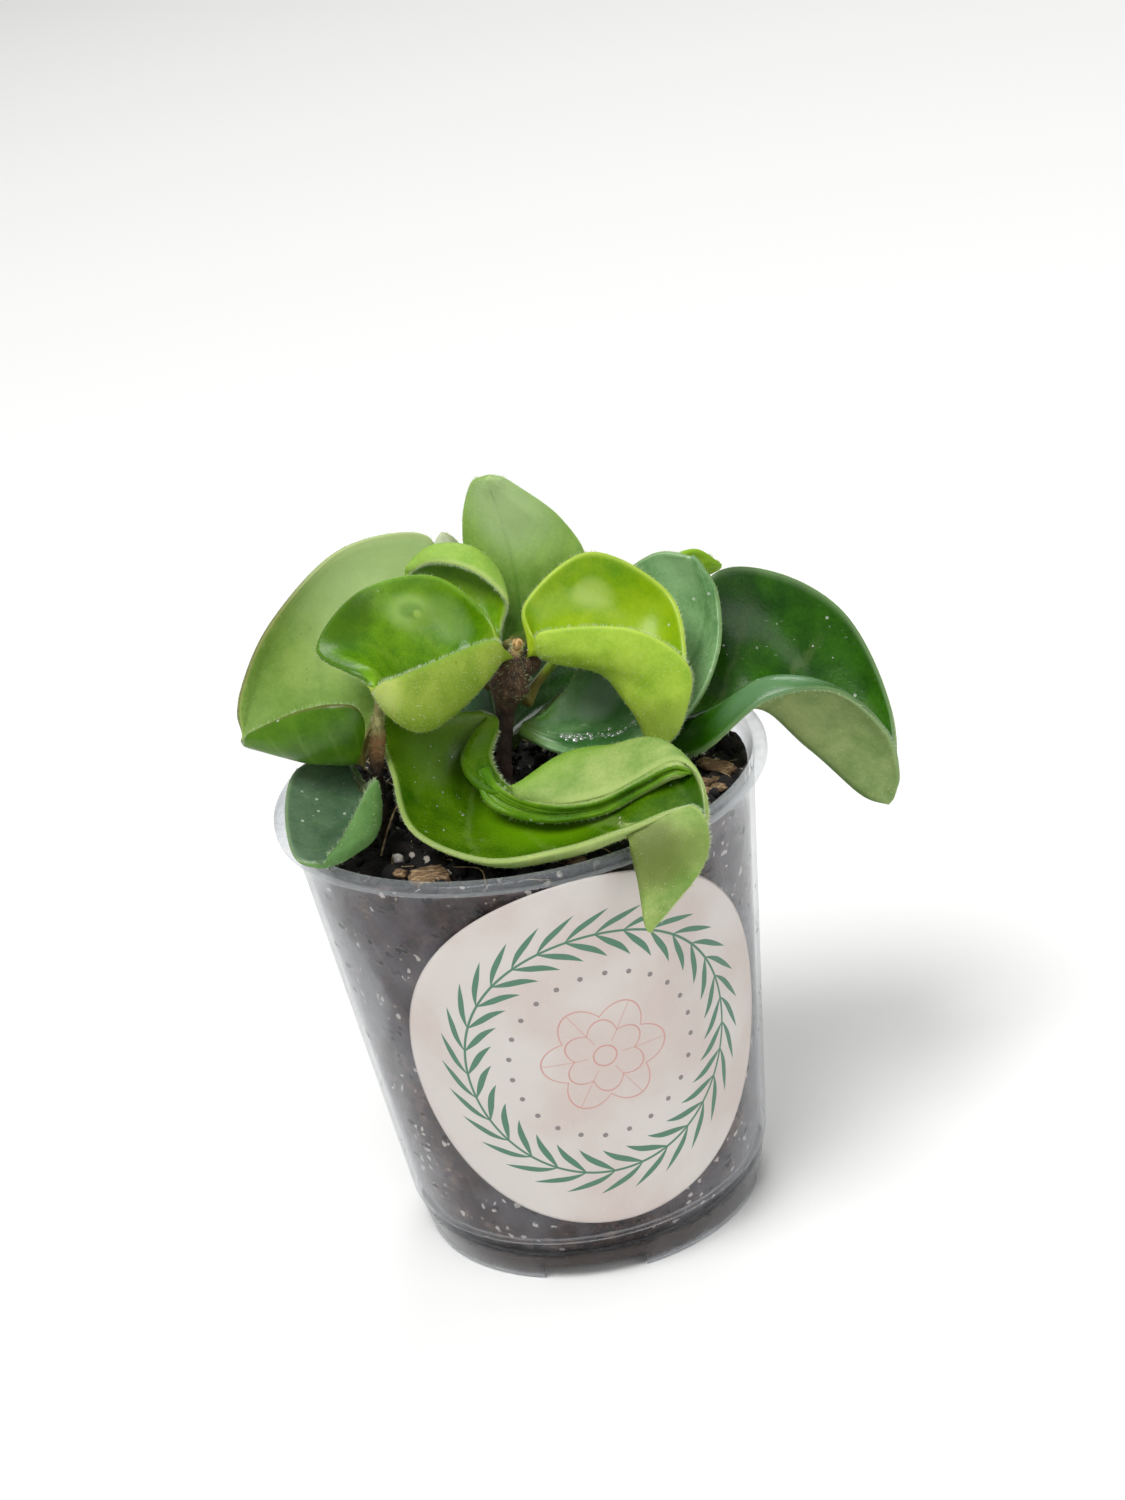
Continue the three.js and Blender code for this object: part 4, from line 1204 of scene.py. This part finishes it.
class Blade:
    def __init__(self, plan):
        self.plan = plan
        self.rib = plan["rib"]
        start, tip = np.array(self.rib[0], float), np.array(self.rib[-1], float)
        startSide = self.endSide(0, 0.0) * bladePlan["petioleHalf"]
        tipSide = self.endSide(-1, 1.0) * bladePlan["tipHalf"]
        self.near = [start - startSide, *plan["near"], tip - tipSide]
        self.far = [start + startSide, *plan["far"], tip + tipSide]
        self.nearBow = [(0, 0, 0), *plan["nearBow"], (0, 0, 0)]
        self.farBow = [(0, 0, 0), *plan["farBow"], (0, 0, 0)]
        half = np.array([0.5])
        between = (smoothLine(self.near, half) + smoothLine(self.far, half)) / 2
        opening = between - smoothLine(self.rib, half)
        self.turned = 1.0
        if np.sum(self.rawNormal(half, half * 0) * opening) > 0:
            self.turned = -1.0

    # the way from near to far at one end, square to the rib
    def endSide(self, index, t):
        side = np.array(self.plan["far"][index], float) - np.array(self.plan["near"][index], float)
        along = self.tangent(t)
        return unit(side - along * np.dot(side, along))

    def tangent(self, t):
        t = np.asarray(t, float)
        return unit(smoothLine(self.rib, t + 1e-4) - smoothLine(self.rib, t - 1e-4))

    # the inside of the fold
    def surface(self, t, v):
        rib = smoothLine(self.rib, t)
        soft = np.sqrt(v * v + bladePlan["foldSoftness"] ** 2)
        point = rib.copy()
        halves = [(self.near, self.nearBow, (soft - v) / 2), (self.far, self.farBow, (soft + v) / 2)]
        for edge, bow, share in halves:
            share = share[..., None]
            point += (smoothLine(edge, t) - rib) * share + smoothLine(bow, t) * 4 * share * (1 - share)
        return point

    def rawNormal(self, t, v):
        d = 0.02
        along = self.surface(np.minimum(t + d, 1), v) - self.surface(np.maximum(t - d, 0), v)
        over = self.surface(t, np.minimum(v + d, 1)) - self.surface(t, np.maximum(v - d, -1))
        return unit(np.cross(along, over)) * self.turned

    # near the petiole and the tip the whole section turns with the rib
    def outward(self, t, v):
        nearEnd = np.maximum.reduce([t * 0, 1 - t / 0.16, (t - 0.92) / 0.08])[..., None]
        normal = blendTo(self.rawNormal(t, v), self.rawNormal(t, v * 0), nearEnd)
        along = self.tangent(t)
        return unit(normal - along * nearEnd * np.sum(normal * along, axis=-1, keepdims=True))

    def thickness(self, t, v):
        petiole = np.maximum(0, 1 - t / bladePlan["petioleShare"]) ** 2
        return blendTo(bladePlan["thickness"] * (1 - bladePlan["edgeThinning"] * v * v),
                       bladePlan["petioleThickness"], petiole)

    # how far dents and ripples push both faces outwards
    def swell(self, t, v):
        seed = sum(self.plan["rib"][0])
        push = np.sin(9 * t + 3 * v + seed) * np.sin(4 * v - 5 * t + 2 * seed)
        push = push + 0.5 * np.sin(21 * t + 8 * v + 3 * seed) * np.cos(11 * v)
        push = push * bladePlan["ripple"] * np.clip(np.minimum(t, 1 - t) / 0.12, 0, 1)
        for dentT, dentV, longway, crossway, depth in self.plan["dents"]:
            push = push + depth * np.exp(-((t - dentT) / longway) ** 2 - ((v - dentV) / crossway) ** 2)
        return push

    # a point at height h from the inside (0) to the outside (1)
    def point(self, t, v, h):
        lift = self.thickness(t, v) * h + self.swell(t, v)
        return self.surface(t, v) + self.outward(t, v) * lift[..., None]

    def rimShare(self, t, side):
        edge = smoothLine(self.far, t) if side > 0 else smoothLine(self.near, t)
        width = np.linalg.norm(edge - smoothLine(self.rib, t), axis=-1)
        return np.clip(0.5 * self.thickness(t, np.ones_like(t)) / width, 0.01, 0.85)

    # a turn runs over the inside, round the far rim, back over the outside and round the near rim
    def place(self, t, turn):
        columns, rim = bladePlan["columns"], bladePlan["rimSteps"]
        count = 2 * (columns + 1) + 2 * rim
        k = np.round(turn * count).astype(int) % count
        t = t - 0.6 * np.sin(2 * math.pi * t) / (2 * math.pi)
        flat = np.linspace(-1, 1, columns + 1)
        arc = np.radians(np.linspace(-90, 90, rim + 2)[1:-1])
        reachOut, climb = np.cos(arc), (1 + np.sin(arc)) / 2
        base = np.concatenate([flat, arc * 0 + 1, flat[::-1], arc * 0 - 1])
        reach = np.concatenate([flat * 0, reachOut, flat * 0, -reachOut[::-1]])
        height = np.concatenate([flat * 0, climb, flat * 0 + 1, climb[::-1]])
        share = np.where(base[k] > 0, self.rimShare(t, 1), self.rimShare(t, -1))
        v = base[k] * (1 - share) + reach[k] * share
        h = height[k]
        points = self.point(t, v, h)
        core = self.point(t, v * 0, v * 0 + 0.5)
        closing = np.sqrt(np.clip(1 - (np.maximum(t - 0.97, 0) / 0.03) ** 2, 0.004, 1))
        points = core + (points - core) * closing[:, None]
        upper = 1 - h if self.plan["insideUpper"] else h
        return points, {"upper": upper, "along": t, "across": v}


def leafFinish(name, plan):
    finish = Finish(name)
    upper = finish.attribute("upper")
    along = finish.attribute("along")
    across = finish.attribute("across")
    shift = (sum(plan["rib"][0]) * 0.01, 0, 0)
    offset = finish.node("ShaderNodeMapping", None, {"Vector": finish.place, "Location": shift})
    broad = finish.grain(10, 2, where=offset)
    middle = finish.grain(2.6, 3, where=offset)
    fine = finish.grain(0.5, 3, 0.6, where=offset)
    shade = (broad * 0.5 + middle * 0.3 + fine * 0.2).step(0.3, 0.7)
    top = finish.mix(shade, tone(*plan["upper"][0]), tone(*plan["upper"][1]))
    below = finish.mix(shade, tone(*plan["under"][0]), tone(*plan["under"][1]))

    # how far a point lies out of the middle of a patch, 1 at its edge
    def away(t, v, longway, crossway):
        return ((along - t) / longway) ** 2 + ((across - v) / crossway) ** 2

    # veins show faintly as paler lines that lean towards the tip
    lean = (along * 5.5 - abs(across) * 1.3 + middle * 0.35).fraction()
    vein = (1 - abs(lean - 0.5).step(0.02, 0.11)) * (1 - abs(across).step(0.6, 0.9)) * along.step(0.1, 0.25)
    rib = 1 - abs(across).step(0.015, 0.07)
    top = finish.mix(vein * 0.1 + rib * 0.22, top, tone(*plan["under"][1]))
    below = finish.mix(vein * 0.12 + rib * 0.35, below, tone(*plan["upper"][1]))

    # pale flecks and scuffs on the waxy side, the flecks partly the leaf's own and partly painted glints of
    # water; small brown marks on the other
    flecked = finish.spotLot(1.7, offset) > 0.88 - 0.16 * plan["scuffs"]
    fleck = (finish.spots(1.7, offset) < 0.13) * flecked
    scratches = finish.grain(1.6, 3, 0.6, where=finish.stretched(1, 2.2, 4.5))
    scratch = scratches.step(0.66, 0.72) * (middle > 0.52)
    dust = finish.grain(0.28, 2, where=offset).step(0.6, 0.74) * broad.step(0.5, 0.7)
    marks = (fleck * 0.8 + scratch * (0.55 * plan["scuffs"]) + dust * (0.4 * plan["scuffs"])).smaller(1)
    top = finish.mix(marks * 0.75, top, tone(196, 206, 190))
    freckle = (finish.spots(1.3, offset) < 0.12) * (finish.spotLot(1.3, offset) > 0.86)
    below = finish.mix(freckle * 0.45, below, tone(96, 92, 44))

    color = finish.mix(upper.step(0.35, 0.65), below, top)
    edge = abs(across).step(0.95, 1.0) * along.step(0.06, 0.14)
    color = finish.mix(edge * 0.5, color, tone(*plan["margin"]))
    # patches paint light and shade into the colour: painted highlights, painted sheen, paler lit tops and
    # painted shade, and a few of the leaf's own tones
    for *spot, patchTone, share in plan["paintedLightAndTonePatches"]:
        cover = (1 - (away(*spot) + middle * 0.3).step(0.2, 1.2)) * share
        color = finish.mix(cover, color, tone(*patchTone))
    stalk = 1 - (along + middle * 0.04).step(0.07, 0.17)
    color = finish.mix(stalk * 0.75, color, tone(*plan["petiole"]))

    waxy = plan["gloss"] + (broad - 0.5) * 0.16 + (fine - 0.5) * 0.14 + marks * 0.25
    for spot in plan["wet"]:
        waxy = waxy - (1 - (away(*spot) + middle * 0.5).step(0.4, 1.2)) * 0.14
    rough = 0.6 + (waxy - 0.6) * upper.step(0.3, 0.7)
    cells = finish.grain(0.22, 2, where=offset)
    relief = middle * 0.35 + fine * 0.16 + cells * 0.06 - vein * 0.05 + rib * (0.3 - upper * 0.5)
    bumps = finish.bump(relief, 0.3, 0.7)
    return finish.done(finish.surface(Base_Color=color, Roughness=rough, Normal=bumps,
                                      Subsurface_Weight=0.16, Subsurface_Radius=(0.9, 1.0, 0.25),
                                      Subsurface_Scale=0.0014, Specular_IOR_Level=0.3))


def addFuzz(name, blade, plan, slotName):
    nearCount, farCount, underCount = plan["fuzz"]
    marginCount = nearCount + farCount
    t = dice.uniform(0.1, 0.985, marginCount)
    side = np.where(np.arange(marginCount) < nearCount, -1.0, 1.0)
    rim = blade.point(t, side, t * 0 + 0.5)
    outwards = unit(rim - blade.point(t, side * 0.94, t * 0 + 0.5))
    sway = blade.outward(t, side) * dice.normal(0, 0.45, (marginCount, 1))
    rimWays = unit(outwards + sway + dice.normal(0, 0.2, rim.shape))
    t = dice.uniform(0.12, 0.97, underCount)
    v = dice.uniform(-0.97, 0.97, underCount)
    h = 1.0 if plan["insideUpper"] else 0.0
    under = blade.point(t, v, t * 0 + h)
    underWays = unit(blade.outward(t, v) * (2 * h - 1) + dice.normal(0, 0.3, under.shape))
    bases, headings = np.concatenate([rim, under]), np.concatenate([rimWays, underWays])
    lengths = np.concatenate([dice.uniform(0.25, 0.62, marginCount), dice.uniform(0.15, 0.4, underCount)])
    addHairs(name + "_fuzz", bases - headings * 0.04, headings, lengths, 0.026, slotName)


# water drops: flattened beads that sit on the waxy side
dropPlans = {
    "leaf_right_bowl": {"count": 46, "t": (0.21, 0.46), "v": (-0.1, 0.12), "size": (0.25, 0.85)},
    "leaf_front": {"count": 14, "t": (0.1, 0.34), "v": (-0.95, -0.2), "size": (0.2, 0.55)},
    "leaf_right_large": {"count": 12, "t": (0.3, 0.7), "v": (0.3, 0.9), "size": (0.2, 0.5)},
}


def dropFinish():
    finish = Finish("waterDrop")
    water = finish.simple("Glossy", {"Roughness": 0.03, "Color": (1, 1, 1, 1)})
    clear = finish.simple("Transparent", {"Color": (0.97, 1, 0.97, 1)})
    # a white diffuse share that makes the drops read bright: painted glints
    glintWhite = finish.simple("Diffuse", {"Color": (1, 1, 1, 1)})
    clear = finish.mixShader(0.16, clear, glintWhite)
    return finish.done(finish.mixShader(finish.edgeOn() ** 3 * 0.4 + 0.15, clear, water))


dropMaterial = dropFinish()


def addDrops(name, blade, plan, slotName):
    bm = bmesh.new()
    t = dice.uniform(*plan["t"], plan["count"])
    v = dice.uniform(*plan["v"], plan["count"])
    bases = blade.point(t, v, t * 0)
    inwards = -blade.outward(t, v)
    low, high = plan["size"]
    sizes = low + (high - low) * dice.uniform(0, 1, plan["count"]) ** 2.5
    for base, heading, size in zip(bases, inwards, sizes):
        turn = Vector(heading).to_track_quat("Z", "Y").to_matrix().to_4x4()
        shape = Matrix.Diagonal((size * mm, size * dice.uniform(0.8, 1.1) * mm, size * 0.5 * mm, 1))
        bmesh.ops.create_uvsphere(bm, u_segments=16, v_segments=10, radius=0.5,
                                  matrix=Matrix.Translation(atPot(base)) @ turn @ shape)
    dress(meshObject(name + "_drops", bm), dropMaterial, slotName)


def addLeaves(plans):
    slots = {part["node"]: part["material_slot"] for part in frame["record"]["subparts"]}
    for name, ownPlan in plans.items():
        plan = {**commonLeaf, **ownPlan}
        blade = Blade(plan)
        slotName = slots[plan.get("partOf", name)]
        segments = 2 * (bladePlan["columns"] + 1) + 2 * bladePlan["rimSteps"]
        leaf = bendTube(name + "_blade", segments, bladePlan["rows"], blade.place)
        stands = [] if "partOf" in plan else [name]
        dress(leaf, leafFinish(name + "_skin", plan), slotName, *stands)
        addFuzz(name, blade, plan, slotName)
        if name in dropPlans:
            addDrops(name, blade, dropPlans[name], slotName)


addLeaves(leafPlans)
print("leaves made")


# studio: a pale floor, a dim even surround and three soft lamps

studioPlan = {
    "floor": tone(244, 244, 243),
    "floorRadius": 3.2,
    "aimHeight": 70,
    "surround": 0.34,
    "lamps": [
        {"name": "key", "at": (-500, -700, 1800), "size": 1.1, "power": 32},
        {"name": "fill", "at": (1000, -900, 800), "size": 1.2, "power": 6},
        {"name": "back", "at": (300, 1300, 1600), "size": 0.9, "power": 9},
    ],
}


def addStudio(plan):
    bm = bmesh.new()
    bmesh.ops.create_circle(bm, cap_ends=True, segments=64, radius=plan["floorRadius"])
    floor = meshObject("floor", bm)
    finish = Finish("paleFloor")
    bumps = finish.bump(finish.grain(4, 3), 0.05)
    paint = finish.surface(Base_Color=plan["floor"], Roughness=0.7, Normal=bumps)
    floor.data.materials.append(finish.done(paint))
    for lamp in plan["lamps"]:
        data = bpy.data.lights.new(lamp["name"], "AREA")
        data.shape = "DISK"
        data.size = lamp["size"]
        data.energy = lamp["power"]
        made = bpy.data.objects.new(lamp["name"], data)
        made.location = atPot(lamp["at"])
        aim = Vector(atPot((0, 0, plan["aimHeight"]))) - made.location
        made.rotation_euler = aim.to_track_quat("-Z", "Y").to_euler()
        bpy.context.collection.objects.link(made)
    world = bpy.data.worlds.new("surround")
    world.use_nodes = True
    inputs = world.node_tree.nodes["Background"].inputs
    inputs["Color"].default_value = (1, 1, 1, 1)
    inputs["Strength"].default_value = plan["surround"]
    bpy.context.scene.world = world
    bpy.context.scene.view_settings.view_transform = "Standard"


addStudio(studioPlan)
print("studio lit")
